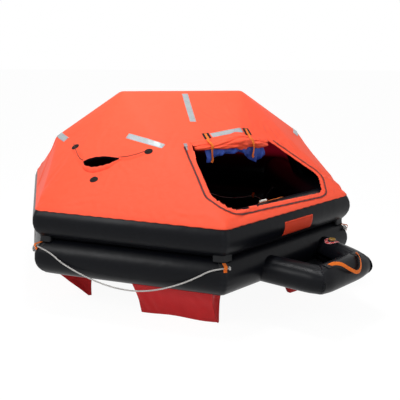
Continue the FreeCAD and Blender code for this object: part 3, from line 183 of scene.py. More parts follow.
def placed(name, data):
    """A new object in the scene, made of the data."""
    obj = bpy.data.objects.new(name, data)
    bpy.context.scene.collection.objects.link(obj)
    return obj


def fitted(obj, name, slot, *more):
    """Gives an object of the raft's body its finishes and slot, in place of the CAD node of its name."""
    for finish in (FINISHES[slot], *more):
        obj.data.materials.append(finish)
    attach(obj, "raft")
    if name in frame["nodes"]:
        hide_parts(name)
    return obj


def weld(mesh, outward):
    """Merges points that coincide, drops flat faces, and turns closed shells' faces outwards."""
    shell = bmesh.new()
    shell.from_mesh(mesh)
    bmesh.ops.remove_doubles(shell, verts=shell.verts, dist=2e-6)
    bmesh.ops.dissolve_degenerate(shell, edges=shell.edges, dist=1e-7)
    if outward:
        bmesh.ops.recalc_face_normals(shell, faces=shell.faces)
    shell.to_mesh(mesh)
    shell.free()


def thicken(obj, thick, offset=-1.0, inner=False):
    """Gives an open sheet its thickness; the inner side takes the second finish where it has one."""
    wall = obj.modifiers.new("wall", "SOLIDIFY")
    wall.thickness, wall.offset = thick, offset
    if inner:
        wall.material_offset = 1
    return obj


def capped(points, *others, ring=None):
    """Closes a tube's ends with a point at each end ring's middle, and repeats the end rows of what goes with it."""
    ends = points[[0, -1], :ring].mean(axis=1, keepdims=True) + 0 * points[[0, -1]]
    rows = [np.concatenate([ends[:1], points, ends[1:]])]
    return rows + [np.concatenate([other[:1], other, other[-1:]]) for other in others]


def carried(line, across, up, profile, closed=False):
    """A closed profile carried along a line: point = line + across x + up y; its ends are closed unless it joins up."""
    profile = np.asarray(profile, float)
    if profile.ndim == 2:
        profile = np.broadcast_to(profile, (len(line),) + profile.shape)
    profile = np.concatenate([profile, profile[:, :1]], axis=1)
    points = line[:, None] + across[:, None] * profile[..., :1] + up[:, None] * profile[..., 1:2]
    metres = stacked(travelled(profile[0])[None, :], travelled(line)[:, None])
    return (points, metres) if closed else capped(points, metres, ring=-1)


def ribbon(line, up, profile):
    """A closed profile carried along a line, its height along up and its width square to the run and to up."""
    return carried(line, unit(np.cross(headings(line), up)), up, profile)


def band_profile(width, thick, base=0.0, crown=0.0, count=7):
    """Flat band section: a level underside and a top whose edges are eased, y = base + thick + crown(1 - (2x/w)^2)."""
    x = np.linspace(-0.5, 0.5, count) * width
    top = base + thick + crown * (1 - (2 * x / width) ** 2)
    ease = np.minimum(thick * 0.45, width * 0.1)
    rim = [(-width / 2, base), (-width / 2, base + thick - ease)]
    rim += [(v * (1 - 2 * ease / width * 0.4), h) for v, h in zip(x, top)]
    rim += [(width / 2, base + thick - ease), (width / 2, base)]
    return rim


def sandwich(cloth, base, top, metres, mark=None):
    """Closes the space between two like grids: the top, the base and a skirt round them."""
    cloth.grid(top, metres, mark)
    cloth.grid(base, metres)
    for pick in (np.s_[:1], np.s_[-1:]):
        cloth.grid(np.concatenate([top[pick], base[pick]]), np.concatenate([metres[pick], metres[pick]]))
        rows = [a.transpose(1, 0, 2)[pick] for a in (top, base, metres, metres)]
        cloth.grid(np.concatenate(rows[:2]), np.concatenate(rows[2:]))
    return cloth


# ---- finishes

class Value:
    """A shader number that joins Python expressions; each operator adds one Math node."""

    def __init__(self, finish, socket):
        self.finish, self.socket = finish, socket

    def _with(self, operation, *values):
        return self.finish.add("ShaderNodeMath", {"operation": operation}, dict(enumerate(values)))

    def __add__(self, other):
        return self._with("ADD", self, other)

    def __sub__(self, other):
        return self._with("SUBTRACT", self, other)

    def __rsub__(self, other):
        return self._with("SUBTRACT", other, self)

    def __mul__(self, other):
        return self._with("MULTIPLY", self, other)

    def __truediv__(self, other):
        return self._with("DIVIDE", self, other)

    def above(self, other):
        """1 where the value is above the other, else 0."""
        return self._with("GREATER_THAN", self, other)

    def wave(self):
        """Sine of the value."""
        return self._with("SINE", self)

    def size(self):
        """The value without its sign."""
        return self._with("ABSOLUTE", self)

    def most(self, other):
        """The greater of the value and the other."""
        return self._with("MAXIMUM", self, other)

    __radd__, __rmul__ = __add__, __mul__


class Nodes:
    """A tree of shader nodes."""

    def __init__(self, tree):
        self.tree = tree

    def add(self, kind, settings=None, inputs=None, out=0):
        """Adds a node, sets its options, then its inputs to values or links, and returns one output."""
        node = self.tree.nodes.new(kind)
        for key, value in (settings or {}).items():
            setattr(node, key, value)
        for key, value in (inputs or {}).items():
            if isinstance(value, Value):
                self.tree.links.new(value.socket, node.inputs[key])
            else:
                node.inputs[key].default_value = value
        return Value(self, node.outputs[out]) if node.outputs else None

    def parts(self, vector):
        """A vector's three parts as values."""
        split = self.add("ShaderNodeSeparateXYZ", None, {"Vector": vector}).socket.node
        return [Value(self, output) for output in split.outputs]


class Finish(Nodes):
    """One procedural material: a principled surface and the nodes that vary it."""

    def __init__(self, name, **constants):
        self.material = bpy.data.materials.new(name)
        self.material.use_nodes = True
        super().__init__(self.material.node_tree)
        self.surface = self.tree.nodes["Principled BSDF"]
        for socket, value in constants.items():
            self.surface.inputs[socket.replace("_", " ").title().replace("Ior", "IOR")].default_value = value
        self.place = self.add("ShaderNodeTexCoord", out="Object")

    def link(self, socket, value):
        """Feeds a varying value into one of the surface's sockets."""
        self.tree.links.new(value.socket, self.surface.inputs[socket])
        return self

    def cloud(self, scale, detail=3.0, rough=0.55, stretch=None):
        """Noise from 0 to 1 at a number of features to the metre, stretched on the axes where asked."""
        where = self.place
        if stretch:
            where = self.add("ShaderNodeMapping", None, {"Vector": where, "Scale": stretch})
        return self.add("ShaderNodeTexNoise", None, {"Vector": where, "Scale": scale, "Detail": detail,
                                                     "Roughness": rough}, "Fac")

    def metres(self):
        """The piece's own map, in metres across and along it."""
        place = self.add("ShaderNodeUVMap", {"uv_map": "metres"})
        return *self.parts(place)[:2], place

    def mark(self):
        """The mark painted on the piece's points: painted shade on the ropes, the lookout sleeve and the pockets, seam
        bands and lines on the tubes and patches.
        """
        return self.add("ShaderNodeAttribute", {"attribute_name": "mark"}, out="Fac")

    def blend(self, share, first, second):
        """Colour between two colours by a share from 0 to 1."""
        pair = [colour if isinstance(colour, Value) else (*colour, 1) for colour in (first, second)]
        return self.add("ShaderNodeMix", {"data_type": "RGBA"}, {0: share, 6: pair[0], 7: pair[1]}, 2)

    def bump(self, height, depth, after=None):
        """Relief of a depth in metres from a height from 0 to 1."""
        inputs = {"Height": height, "Distance": depth, "Strength": 1.0}
        if after is not None:
            inputs["Normal"] = after
        return self.add("ShaderNodeBump", None, inputs)

    def span(self, value, low, high):
        """A value from 0 to 1 turned into one from low to high."""
        return value * (high - low) + low


def coated_fabric(name, colour, worn, gloss, specular=0.22):
    """Rubber-coated cloth: faint weave, soft mottling, dull scuffs and paler seam bands."""
    f = Finish(name, specular_ior_level=specular)
    mottle, scuff = f.cloud(5.0, 4.0), f.cloud(38.0, 5.0, 0.65)
    band = f.mark()
    dirt = (scuff - 0.5) * 1.6 * mottle
    f.link("Base Color", f.blend(dirt + band * 0.35, colour, worn))
    f.link("Roughness", f.span(mottle, *gloss) + scuff * 0.08 + band * 0.06)
    weave = f.cloud(900.0, 1.0)
    swell = f.bump(f.cloud(7.0, 2.0), 0.003)
    f.link("Normal", f.bump(weave * 0.6 + scuff * 0.8, 0.00010, swell))
    return f.material


def woven(name, colour, shade):
    """Woven webbing: diagonal ribs from two sine waves across and along its map, darker with the rib pattern as painted
    shade of the weave, and with soil.
    """
    pitch, relief = 0.0011, 0.00025
    f = Finish(name, roughness=0.75, sheen_weight=0.1, specular_ior_level=0.25)
    across, along, _ = f.metres()
    turn = 2 * math.pi / pitch
    ribs = ((across + along * 0.5) * turn).wave() * ((along * 1.4 - across * 0.2) * turn).wave() * 0.5 + 0.5
    soil = f.cloud(60.0, 3.0)
    # the rib pattern darkens the colour as painted shade; soil varies it at random
    f.link("Base Color", f.blend(ribs * 0.25 + soil * 0.45, colour, shade))
    f.link("Normal", f.bump(ribs, relief))
    return f.material


def canopy_cloth(name):
    """Proofed orange cloth: fine plain weave, faint mottling, slightly deeper colour where marked, which is painted
    shade under the lookout's lower lip.
    """
    f = Finish(name, roughness=0.62, specular_ior_level=0.28, sheen_weight=0.05)
    across, along, _ = f.metres()
    turn = 2 * math.pi / 0.0016
    weave = (across * turn).wave() * (along * turn).wave() * 0.5 + 0.5
    tone = f.cloud(2.2, 2.0) * 0.6 + f.cloud(24.0, 4.0) * 0.4
    cloth = f.blend(tone, (0.98, 0.075, 0.024), (0.92, 0.105, 0.046))
    # the mark deepens the colour as painted shade
    f.link("Base Color", f.blend(f.mark(), cloth, (0.80, 0.035, 0.008)))
    crush = f.cloud(15.0, 4.0, 0.6, stretch=(1.0, 1.0, 0.45))
    f.link("Normal", f.bump(weave, 0.00008, f.bump(crush, 0.0045)))
    return f.material


def canopy_inside_shade():
    """The canopy's inner side: near black as painted shade of the closed cabin, and dull red at the back as a painted
    glow where daylight comes through it.
    """
    f = Finish("canopy_inside_shade", roughness=0.8, specular_ior_level=0.1, emission_strength=1.0)
    _, depth, level = f.parts(f.place)
    # painted light: a dull red glow for daylight through the cloth on the upper back of the inside
    glow = f.add("ShaderNodeMapRange", {"interpolation_type": "SMOOTHSTEP"},
                 {"Value": level, "From Min": 0.78, "From Max": 0.90}) * depth.above(0.0)
    # near black as painted shade of the closed cabin; the glow is painted in the colour and the emission
    f.link("Base Color", f.blend(glow, (0.004, 0.003, 0.006), (0.08, 0.003, 0.010)))
    f.link("Emission Color", f.blend(glow, (0.0, 0.0, 0.0), (0.075, 0.001, 0.005)))
    f.link("Normal", f.bump(f.cloud(9.0, 3.0), 0.008))
    return f.material


def satin_lining(name):
    """Blue lining: long soft streaks whose bright satin folds are a painted sheen in its colour."""
    f = Finish(name, sheen_weight=0.05, specular_ior_level=0.3)
    streak = f.cloud(30.0, 4.0, 0.6, stretch=(1.0, 1.0, 0.3))
    # the streaks lighten the colour as a painted satin sheen
    f.link("Base Color", f.blend(streak, (0.008, 0.026, 0.20), (0.035, 0.09, 0.46)))
    f.link("Roughness", f.span(streak, 0.35, 0.6))
    f.link("Normal", f.bump(streak, 0.006))
    return f.material


def zip_cloth(name):
    """Dark zip: moulded teeth along the middle of a woven tape."""
    f = Finish(name, roughness=0.55, specular_ior_level=0.3)
    across, along, _ = f.metres()
    teeth = (along * (2 * math.pi / 0.004)).wave().above(0.0)
    middle = 1 - ((across - 0.0117).size() / 0.0055).above(1.0)
    chain = f.blend(teeth, (0.014, 0.006, 0.006), (0.06, 0.022, 0.018))
    f.link("Base Color", f.blend(middle, (0.55, 0.035, 0.012), chain))
    f.link("Normal", f.bump(teeth * middle + f.cloud(800.0, 1.0) * 0.2, 0.0007))
    return f.material


def retro_tape(name):
    """Retroreflective tape: grey film over a honeycomb of cells, with bright crumpled glints."""
    f = Finish(name, specular_ior_level=0.6)
    cells = f.add("ShaderNodeTexVoronoi", {"feature": "DISTANCE_TO_EDGE"},
                  {"Vector": f.metres()[2], "Scale": 220.0}, "Distance")
    glint = f.cloud(22.0, 3.0, 0.6)
    line = 1 - (cells * 9.0).above(1.0)
    film = f.blend(glint, (0.19, 0.22, 0.24), (0.42, 0.46, 0.48))
    f.link("Base Color", f.blend(line * 0.4, film, (0.55, 0.58, 0.60)))
    f.link("Roughness", f.span(glint, 0.22, 0.5))
    f.link("Metallic", f.span(glint, 0.25, 0.6))
    f.link("Normal", f.bump(glint, 0.004, f.bump(cells, 0.0004)))
    return f.material


def water_pocket_cloth(name):
    """Thin red coated cloth: paler along creases, darker where marked: towards the tube as painted shade under the
    raft, and in a narrow line above the keel.
    """
    f = Finish(name, roughness=0.6, specular_ior_level=0.15)
    crease = f.cloud(13.0, 5.0, 0.6, stretch=(1.0, 1.0, 0.25))
    cloth = f.blend(crease, (0.52, 0.014, 0.018), (0.66, 0.028, 0.030))
    # the mark darkens the cloth: painted shade near the top, and a narrow line above the keel
    f.link("Base Color", f.blend(f.mark(), cloth, (0.36, 0.008, 0.010)))
    f.link("Normal", f.bump(f.cloud(1100.0, 1.0), 0.0001, f.bump(crease, 0.0045)))
    return f.material


def rope_strands(name, light, dark):
    """Twisted rope: fibres across each strand from a wave over its map, darker in the grooves marked on it as painted
    shade.
    """
    f = Finish(name, roughness=0.8, specular_ior_level=0.2, sheen_weight=0.15)
    across, along, _ = f.metres()
    fibre = ((across * 1.2 + along) * (2 * math.pi / 0.0014)).wave() * 0.5 + 0.5
    # the mark darkens the grooves as painted shade; fibre and cloud vary the tone
    f.link("Base Color", f.blend(f.mark() * 0.75 + fibre * 0.12 + f.cloud(30.0) * 0.15, light, dark))
    f.link("Normal", f.bump(fibre, 0.0002))
    return f.material


def moulded(name, colour, shade, rough=(0.3, 0.45), metallic=0.0, grain=0.00008):
    """Moulded plastic or machined metal: fine grain, faint streaks and dulled patches."""
    f = Finish(name, metallic=metallic, specular_ior_level=0.4)
    grain_map, patch = f.cloud(260.0, 3.0), f.cloud(14.0, 4.0)
    f.link("Base Color", f.blend(patch * 0.6 + grain_map * 0.2, colour, shade))
    f.link("Roughness", f.span(patch, *rough))
    f.link("Normal", f.bump(grain_map, grain))
    return f.material


def printed_ring(name):
    """Ring label: alternate red and pale pink sectors round its map, with a pale rim."""
    f = Finish(name, roughness=0.4, specular_ior_level=0.35)
    across, along, _ = f.metres()
    sectors = (along * (2 * math.pi * 7)).wave().above(0.55)
    rim = (across - 0.5).size().above(0.42)
    worn = f.cloud(160.0, 3.0)
    inked = f.blend(sectors, (0.50, 0.035, 0.04), (0.60, 0.26, 0.26))
    f.link("Base Color", f.blend(rim * 0.7 + worn * 0.12, inked, (0.62, 0.30, 0.30)))
    f.link("Normal", f.bump(worn, 0.0001))
    return f.material


LOOKS = {
    "tube_fabric": (coated_fabric, (0.0022, 0.0026, 0.0042), (0.008, 0.009, 0.012), (0.24, 0.36), 0.13),
    "patch_fabric": (coated_fabric, (0.007, 0.0075, 0.009), (0.018, 0.018, 0.02), (0.38, 0.5)),
    "floor_fabric": (coated_fabric, (0.006, 0.006, 0.007), (0.015, 0.015, 0.017), (0.5, 0.65)),
    "canopy_fabric": (canopy_cloth,),
    "lining_fabric": (satin_lining,),
    "zip_tape": (zip_cloth,),
    "zip_metal": (moulded, (0.30, 0.30, 0.31), (0.16, 0.16, 0.17), (0.3, 0.5), 0.9),
    "reflective_tape": (retro_tape,),
    "dark_patch": (coated_fabric, (0.008, 0.006, 0.006), (0.022, 0.014, 0.012), (0.55, 0.7), 0.15),
    "orange_webbing": (woven, (0.90, 0.20, 0.015), (0.62, 0.10, 0.01)),
    "boarding_patch": (coated_fabric, (0.72, 0.055, 0.018), (0.42, 0.03, 0.012), (0.5, 0.6)),
    "pocket_fabric": (water_pocket_cloth,),
    "white_rope": (rope_strands, (0.62, 0.60, 0.58), (0.20, 0.19, 0.18)),
    "dark_cord": (rope_strands, (0.055, 0.010, 0.006), (0.022, 0.005, 0.004)),
    "toggle_plastic": (moulded, (0.78, 0.74, 0.68), (0.55, 0.5, 0.45)),
    "ring_label": (printed_ring,),
    "valve_body": (moulded, (0.02, 0.02, 0.023), (0.045, 0.045, 0.05)),
    "valve_cap": (moulded, (0.34, 0.20, 0.04), (0.20, 0.11, 0.02)),
    "valve_inner": (moulded, (0.5, 0.5, 0.5), (0.35, 0.35, 0.36)),
    "bottle_paint": (moulded, (0.20, 0.21, 0.23), (0.11, 0.12, 0.13), (0.35, 0.55), 0.0, 0.00015),
    "head_brass": (moulded, (0.60, 0.42, 0.16), (0.34, 0.22, 0.08), (0.25, 0.45), 1.0),
    "strap_webbing": (woven, (0.02, 0.02, 0.024), (0.045, 0.045, 0.05)),
    "hose_rubber": (coated_fabric, (0.010, 0.010, 0.011), (0.03, 0.03, 0.03), (0.4, 0.55)),
}
FINISHES = {name: finish(name, *look) for name, (finish, *look) in LOOKS.items()}
# the canopy's inner side: painted shade of the cabin, with a painted glow of daylight at the back
INSIDE_SHADE = canopy_inside_shade()


# ---- inflated tubes

def uneven(count, pull):
    """Shares from 0 to 1, closer together towards both ends: t - pull sin(2 pi t) / 2 pi."""
    t = np.linspace(0, 1, count)
    return t - pull * np.sin(2 * np.pi * t) / (2 * np.pi)


def denser(values, centres, reach, step):
    """A sorted list of values with extra ones every step within reach of the centres."""
    extra = [np.arange(c - reach, c + reach + step / 2, step) for c in centres]
    merged = np.unique(np.round(np.concatenate([values] + extra), 6))
    merged = merged[(merged >= values[0]) & (merged <= values[-1])]
    near = np.abs(np.diff(merged, prepend=merged[0] - 1)) > step * 0.25
    near[-1] = True
    return merged[near]


def mitred_tube(corners, normal, radius, pucker, turns, counts, closed, extra, inner_folds, soften=0.0):
    """A round tube along mitred runs.

    At angle t round the section x = r cos t lies outwards in the plane of the path, y = r sin t along its normal.
    A run's length at x is L + x (tan(a/2) + tan(b/2)) for the turns a and b at its ends, so both ends meet the mitre
    planes. r = R - pucker w(d) (0.4 + 0.6 (1 - cos t) / 2) (1 + cos(n t)) / 2 - 2 pucker exp(-(d / 7 mm)^2), where d is
    the distance from the mitre and w = exp(-(d / 55 mm)^2), and soften exp(-(d / 70 mm)^2) ((1 + cos t) / 2)^2 less
    rounds the outer side of a turn. Returns the points, their distances from a mitre and maps.
    """
    corners = np.asarray(corners, float)
    if closed:
        corners = np.vstack([corners, corners[:1]])
    runs = np.diff(corners, axis=0)
    lengths = np.linalg.norm(runs, axis=1)
    runs = runs / lengths[:, None]
    count = len(runs)
    outs = np.cross(runs, normal)
    bends = []
    for k in range(count + 1):
        before, after = runs[k - 1], runs[k % count]
        held = closed or 0 < k < count
        bends.append(math.atan2(np.cross(before, after) @ normal, before @ after) if held else 0.0)
    rows, gaps, run_up, done = [], [], [], 0.0
    for k in range(count):
        shares = uneven(counts[k], 0.5)
        if k in extra:
            shares = denser(shares * lengths[k], extra[k], 0.05, 0.004) / lengths[k]
        if k < count - 1 or closed:
            shares = shares[:-1]
        x = radius * np.cos(turns)[None, :]
        head, tail = math.tan(bends[k] / 2), math.tan(bends[k + 1] / 2)
        span = lengths[k] + x * (head + tail)
        reach = -x * head + shares[:, None] * span
        to_head, to_tail = shares[:, None] * span, (1 - shares[:, None]) * span
        far = 9.0 * (1 - (bends[k] != 0)), 9.0 * (1 - (bends[k + 1] != 0))
        gap = np.minimum(to_head + far[0], to_tail + far[1])
        facing_in = (1 - np.cos(turns)[None, :]) / 2
        folds = (1 + np.cos(inner_folds * turns[None, :] + 2.0 * k + 3 * noise(turns[None, :], k, 0.7, 5))) / 2
        dent = pucker * hump(gap, 0.055) * (0.4 + 0.6 * facing_in) * folds
        dent = dent + 1.6 * pucker * hump(gap, 0.007)
        r = radius - dent - soften * hump(gap, 0.07) * (1 - facing_in) ** 2
        rows.append(corners[k] + reach[..., None] * runs[k] + (r * np.cos(turns))[..., None] * outs[k]
                    + (r * np.sin(turns))[..., None] * np.asarray(normal, float))
        gaps.append(gap)
        run_up.append(done + shares * lengths[k])
        done += lengths[k]
    points, gap, along = np.vstack(rows), np.vstack(gaps), np.concatenate(run_up)
    if closed:
        points, gap = np.vstack([points, points[:1]]), np.vstack([gap, gap[:1]])
        along = np.append(along, done)
    metres = stacked(radius * turns[None, :], along[:, None])
    return points, gap, metres


SEAT_R = 0.033                   # radius of a valve's flat seat
FLANGE_R, WELL_R, WELL_DEPTH = 0.0365, 0.0272, 0.042


def seated(points, seats):
    """Lets flat seats and wells into a skin: under a flange the skin stays level, and in its middle it sinks."""
    for base, axis in seats:
        away = points - base
        rise = away @ axis
        spread = np.linalg.norm(away - rise[..., None] * axis, axis=-1)
        near = (spread < 0.06) & (np.abs(rise) < 0.03)
        level = np.where(spread < FLANGE_R, np.minimum(rise, -0.0004), rise)
        level = np.where(spread < WELL_R, -WELL_DEPTH, level)
        points = points + np.where(near, level - rise, 0)[..., None] * axis
    return points


def seat_sink(tube_r):
    """Depth to which a valve's flat seat is let into a round tube."""
    return tube_r - math.sqrt(tube_r ** 2 - SEAT_R ** 2) + 0.0002


SEAT_OUT, RAMP_SEAT_UP = TUBE_R - seat_sink(TUBE_R), RAMP_R - seat_sink(RAMP_R)
UPPER_SEAT = side_point("rear_left", 0.5, -SEAT_OUT, HIGH_Z)
LOWER_SEAT = side_point("rear_right", 0.86, -SEAT_OUT, LOW_Z)
UPPER_RELIEF = side_point("rear_right", 0.42, SEAT_OUT, HIGH_Z)
LOWER_RELIEF = side_point("rear_left", 0.82, SEAT_OUT, LOW_Z)
RAMP_PLAN = [(0.35, 0.0), (0.465, 0.495), (0.915, 0.495), (1.04, 0.0)]
RAMP_LINE = np.array([side_point("boarding", along, out, RAMP_Z) for along, out in RAMP_PLAN])
RAMP_ARM = unit(RAMP_LINE[2] - RAMP_LINE[3])
RAMP_SEAT = RAMP_LINE[3] + RAMP_ARM * 0.232 + UP * RAMP_SEAT_UP
OUT = {side: side_axes(side)[2] for side in SIDES}


def ring_tube(name, height, above, seats, extra, counts):
    """One buoyancy tube: a mitred hexagonal ring with a level band where it is bonded to the other."""
    turns = denser(np.linspace(-np.pi / 2, 1.5 * np.pi, 65), (0.0, np.pi), 0.33, 0.03)
    corners = [plan(angle, SIDE, height) for angle in CORNERS.values()]
    points, gap, metres = mitred_tube(corners, UP, TUBE_R, 0.0026, turns, counts, True, extra, 22)
    points[..., 2] = (np.maximum(points[..., 2], JOIN_Z + JOIN_GAP) if above
                      else np.minimum(points[..., 2], JOIN_Z - JOIN_GAP))
    points = seated(points, seats)
    band = hump(gap, 0.034, 8)
    return Cloth().grid(points, metres, band).piece(name, "tube_fabric")


RING_COUNTS = [105, 105, 86, 86, 86, 86]
ring_tube("upper_tube", HIGH_Z, True, [(UPPER_SEAT, -OUT["rear_left"]), (UPPER_RELIEF, OUT["rear_right"])],
          {4: [0.5], 3: [0.42]}, RING_COUNTS)
ring_tube("lower_tube", LOW_Z, False, [(LOWER_SEAT, -OUT["rear_right"]), (LOWER_RELIEF, OUT["rear_left"])],
          {3: [0.86], 4: [0.82]}, RING_COUNTS)


def ramp_and_arch():
    """The boarding ramp's U-shaped tube and the canopy's arch, both mitred and puckered at their turns."""
    turns = denser(np.linspace(-np.pi, np.pi, 61), (np.pi / 2,), 0.5, 0.04)
    points, gap, metres = mitred_tube(RAMP_LINE, UP, RAMP_R, 0.0042, turns, [70, 70, 80], False,
                                      {2: [0.2788]}, 20, 0.016)
    to_root = np.abs((points - side_axes("boarding")[0]) @ OUT["boarding"] - 0.19)
    points = seated(points, [(RAMP_SEAT, UP)])
    band = np.maximum(hump(gap, 0.03, 8), hump(to_root, 0.012, 8))
    points, metres, band = capped(points, metres, band)
    Cloth().grid(points, metres, band).piece("boarding_ramp", "tube_fabric")
    turns = np.linspace(-np.pi, np.pi, 41)
    normal = np.array([0.0, 1.0, 0.0])
    points, gap, metres = mitred_tube(ARCH_LINE, normal, 0.075, 0.003, turns, [40, 46, 60, 46, 40], False, (), 12)
    points, metres, band = capped(points, metres, hump(gap, 0.025, 8))
    Cloth().grid(points, metres, band).piece("arch_tube", "tube_fabric")


ramp_and_arch()


# ---- canopy surface

def canopy_corners(lift=0.0):
    """The canopy's corner points, each face moved outwards by lift."""
    away = (0.478 + CLOTH_ARCH_R * 0.3) * 0.5 - APOTHEM
    rise = 1.446 + CLOTH_ARCH_R - HIGH_Z
    tangent = math.atan2(rise, away) - math.acos(CLOTH_R / math.hypot(away, rise))
    radius, hem = CLOTH_R + lift, math.radians(33)
    bend, bend_r = (tangent + hem) / 2, (CLOTH_R + lift) / math.cos((tangent - hem) / 2)
    bend_out, bend_z = APOTHEM + bend_r * math.cos(bend), HIGH_Z + bend_r * math.sin(bend)
    hem_out, hem_z = APOTHEM + radius * math.cos(hem), HIGH_Z + radius * math.sin(hem)
    points = {}
    for corner in ("left", "front", "right"):
        points["bend_" + corner] = plan(CORNERS[corner], bend_out / COS30, bend_z)
        points["hem_" + corner] = plan(CORNERS[corner], hem_out / COS30, hem_z)
    points["bend_front"] = points["bend_front"] + UP * 0.0085
    runs = unit(np.diff(ARCH_LINE, axis=0))
    normals = np.stack([-runs[:, 2], 0 * runs[:, 0], runs[:, 0]], -1)
    mitres = [normals[0]] + [(a + b) / (1 + a @ b) for a, b in zip(normals, normals[1:])] + [normals[4]]
    stems = ARCH_LINE + np.array(mitres) * (CLOTH_ARCH_R + lift)
    for name, index in (("foot", 0), ("knee", 1), ("shoulder", 2)):
        for side, at in (("left", index), ("right", 5 - index)):
            points[f"{name}_{side}"] = stems[at] + np.array([0, -0.034, 0])
            points[f"{name}_{side}_mid"] = stems[at]
    return points


SKIN_LIFT, CLOTH_GAP = 0.001, 0.0012
CANOPY_THICK, SLEEVE_THICK, LINING_THICK, POCKET_THICK = 0.0016, 0.0014, 0.0016, 0.0012
CORNER_POINTS = canopy_corners()
HUB = np.array([0.0, 0.0, CORNER_POINTS["hem_front"][2]])


def canopy_planes():
    """Outward normals and offsets of the canopy's front faces."""
    points = canopy_corners(SKIN_LIFT)
    faces = [("shoulder_left", "bend_front", "shoulder_right"),
             ("shoulder_left_mid", "shoulder_left", "shoulder_right")]
    for s in ("left", "right"):
        faces += [(f"shoulder_{s}", "bend_front", f"bend_{s}"), (f"shoulder_{s}", f"bend_{s}", f"knee_{s}"),
                  (f"knee_{s}", f"bend_{s}", f"foot_{s}"), (f"foot_{s}", f"bend_{s}", f"foot_{s}_mid"),
                  (f"knee_{s}", f"foot_{s}", f"foot_{s}_mid"), (f"shoulder_{s}", f"knee_{s}", f"knee_{s}_mid"),
                  (f"bend_{s}", "bend_front", "hem_front"), (f"bend_{s}", "hem_front", f"hem_{s}")]
    normals = np.array([unit(np.cross(points[b] - points[a], points[c] - points[a])) for a, b, c in faces])
    anchors = np.array([points[face[0]] for face in faces])
    normals *= np.sign(np.sum(normals * (anchors - np.array([0, -0.2, 0.9])), axis=1))[:, None]
    return normals, np.sum(normals * anchors, axis=1)


PLANE_NORMALS, PLANE_OFFSETS = canopy_planes()


def segment_gap(points, start, end):
    """Distance from points to a straight segment, and the nearest spot on it."""
    run = end - start
    share = np.clip((points - start) @ run / (run @ run), 0, 1)
    spot = start + share[..., None] * run
    return np.linalg.norm(points - spot, axis=-1), spot


def kept_off(points, line, radius):
    """Pushes points that come nearer to a line of segments than radius straight away from it."""
    for start, end in zip(line, line[1:]):
        gap, spot = segment_gap(points, start, end)
        pushed = spot + (points - spot) * (radius / np.maximum(gap, 1e-6))[..., None]
        points = np.where((gap < radius)[..., None], pushed, points)
    return points


def kept_off_ring(points, radius):
    """Pushes points straight away from the upper tube: the distance is measured to the line of the side they face."""
    outwards = np.array(list(OUT.values()))
    facing = points @ outwards.T
    way = outwards[facing.argmax(axis=-1)]
    out = facing.max(axis=-1) - APOTHEM
    rise = points[..., 2] - HIGH_Z
    gap = np.hypot(out, rise)
    push = np.where(gap < radius, radius / np.maximum(gap, 1e-6) - 1, 0)
    return points + (push * out)[..., None] * way + (push * rise)[..., None] * UP


def facet_axes(side):
    """Origin, directions along and upslope, and outward direction of a front panel."""
    p = CORNER_POINTS
    origin, toward = (p["bend_front"], p["bend_right"]) if side == "right" else (p["bend_left"], p["bend_front"])
    along = unit(toward - origin)
    outward = unit(np.cross(along, p[f"shoulder_{side}"] - origin))
    return origin, along, np.cross(outward, along), outward


FACETS = {side: facet_axes(side) for side in ("left", "right")}


def facet_place(side, points):
    """Distances of points along and up a front panel from its origin."""
    origin, along, slope, _ = FACETS[side]
    return (points - origin) @ along, (points - origin) @ slope


def crease(x, y, start, end, depth, width):
    """A fold along a line: depth (exp(-(d/w)^2) - 0.55 exp(-(d/2.2w)^2)) faded towards both ends."""
    run = np.subtract(end, start)
    length = math.hypot(*run)
    run = run / length
    t = ((x - start[0]) * run[0] + (y - start[1]) * run[1]) / length
    off = (x - start[0]) * -run[1] + (y - start[1]) * run[0]
    off = off + 0.012 * np.sin(7 * t)
    fade = smooth(t, -0.05, 0.2) * (1 - smooth(t, 0.7, 1.1))
    return depth * fade * (hump(off, width) - 0.55 * hump(off, 2.2 * width))


# Folds on each front panel: start and end as (along, upslope), depth, width
FOLDS = {
    "right": [
        ((0.02, 0.05), (0.42, 0.075), 0.007, 0.018), ((0.05, 0.015), (0.62, 0.03), 0.006, 0.016),
        ((0.0, 0.12), (0.2, 0.15), 0.005, 0.014), ((0.12, 0.27), (-0.02, 0.42), 0.004, 0.02),
        ((0.86, 0.75), (1.02, 0.98), 0.006, 0.022), ((0.80, 0.78), (0.84, 1.06), 0.005, 0.02),
        ((0.70, 0.82), (0.62, 1.10), 0.004, 0.022), ((0.94, 0.70), (1.14, 0.86), 0.005, 0.02),
        ((0.32, 0.80), (0.12, 1.02), 0.004, 0.024), ((0.49, 0.90), (0.40, 1.10), 0.0035, 0.02),
        ((1.02, 0.60), (1.25, 0.62), 0.004, 0.018), ((1.24, 0.24), (1.36, 0.10), 0.004, 0.018),
        ((0.60, 0.025), (1.15, 0.02), 0.0035, 0.012), ((0.30, 0.80), (0.62, 0.74), 0.003, 0.02),
    ],
    "left": [
        ((0.08, 0.03), (0.5, 0.12), 0.004, 0.02), ((0.15, 0.02), (0.22, 0.30), 0.004, 0.018),
        ((0.21, 0.40), (0.16, 0.20), 0.004, 0.02), ((0.34, 0.38), (0.36, 0.14), 0.0035, 0.022),
        ((0.47, 0.49), (0.62, 0.30), 0.003, 0.022), ((0.20, 0.46), (0.04, 0.62), 0.003, 0.02),
        ((0.48, 0.50), (0.72, 0.60), 0.003, 0.02), ((1.30, 0.05), (0.95, 0.09), 0.005, 0.018),
        ((1.33, 0.12), (1.12, 0.22), 0.004, 0.016), ((0.62, 0.66), (0.56, 0.95), 0.0025, 0.025),
        ((0.95, 0.25), (1.02, 0.62), 0.003, 0.022), ((0.30, 0.60), (0.34, 0.85), 0.0025, 0.02),
    ],
}


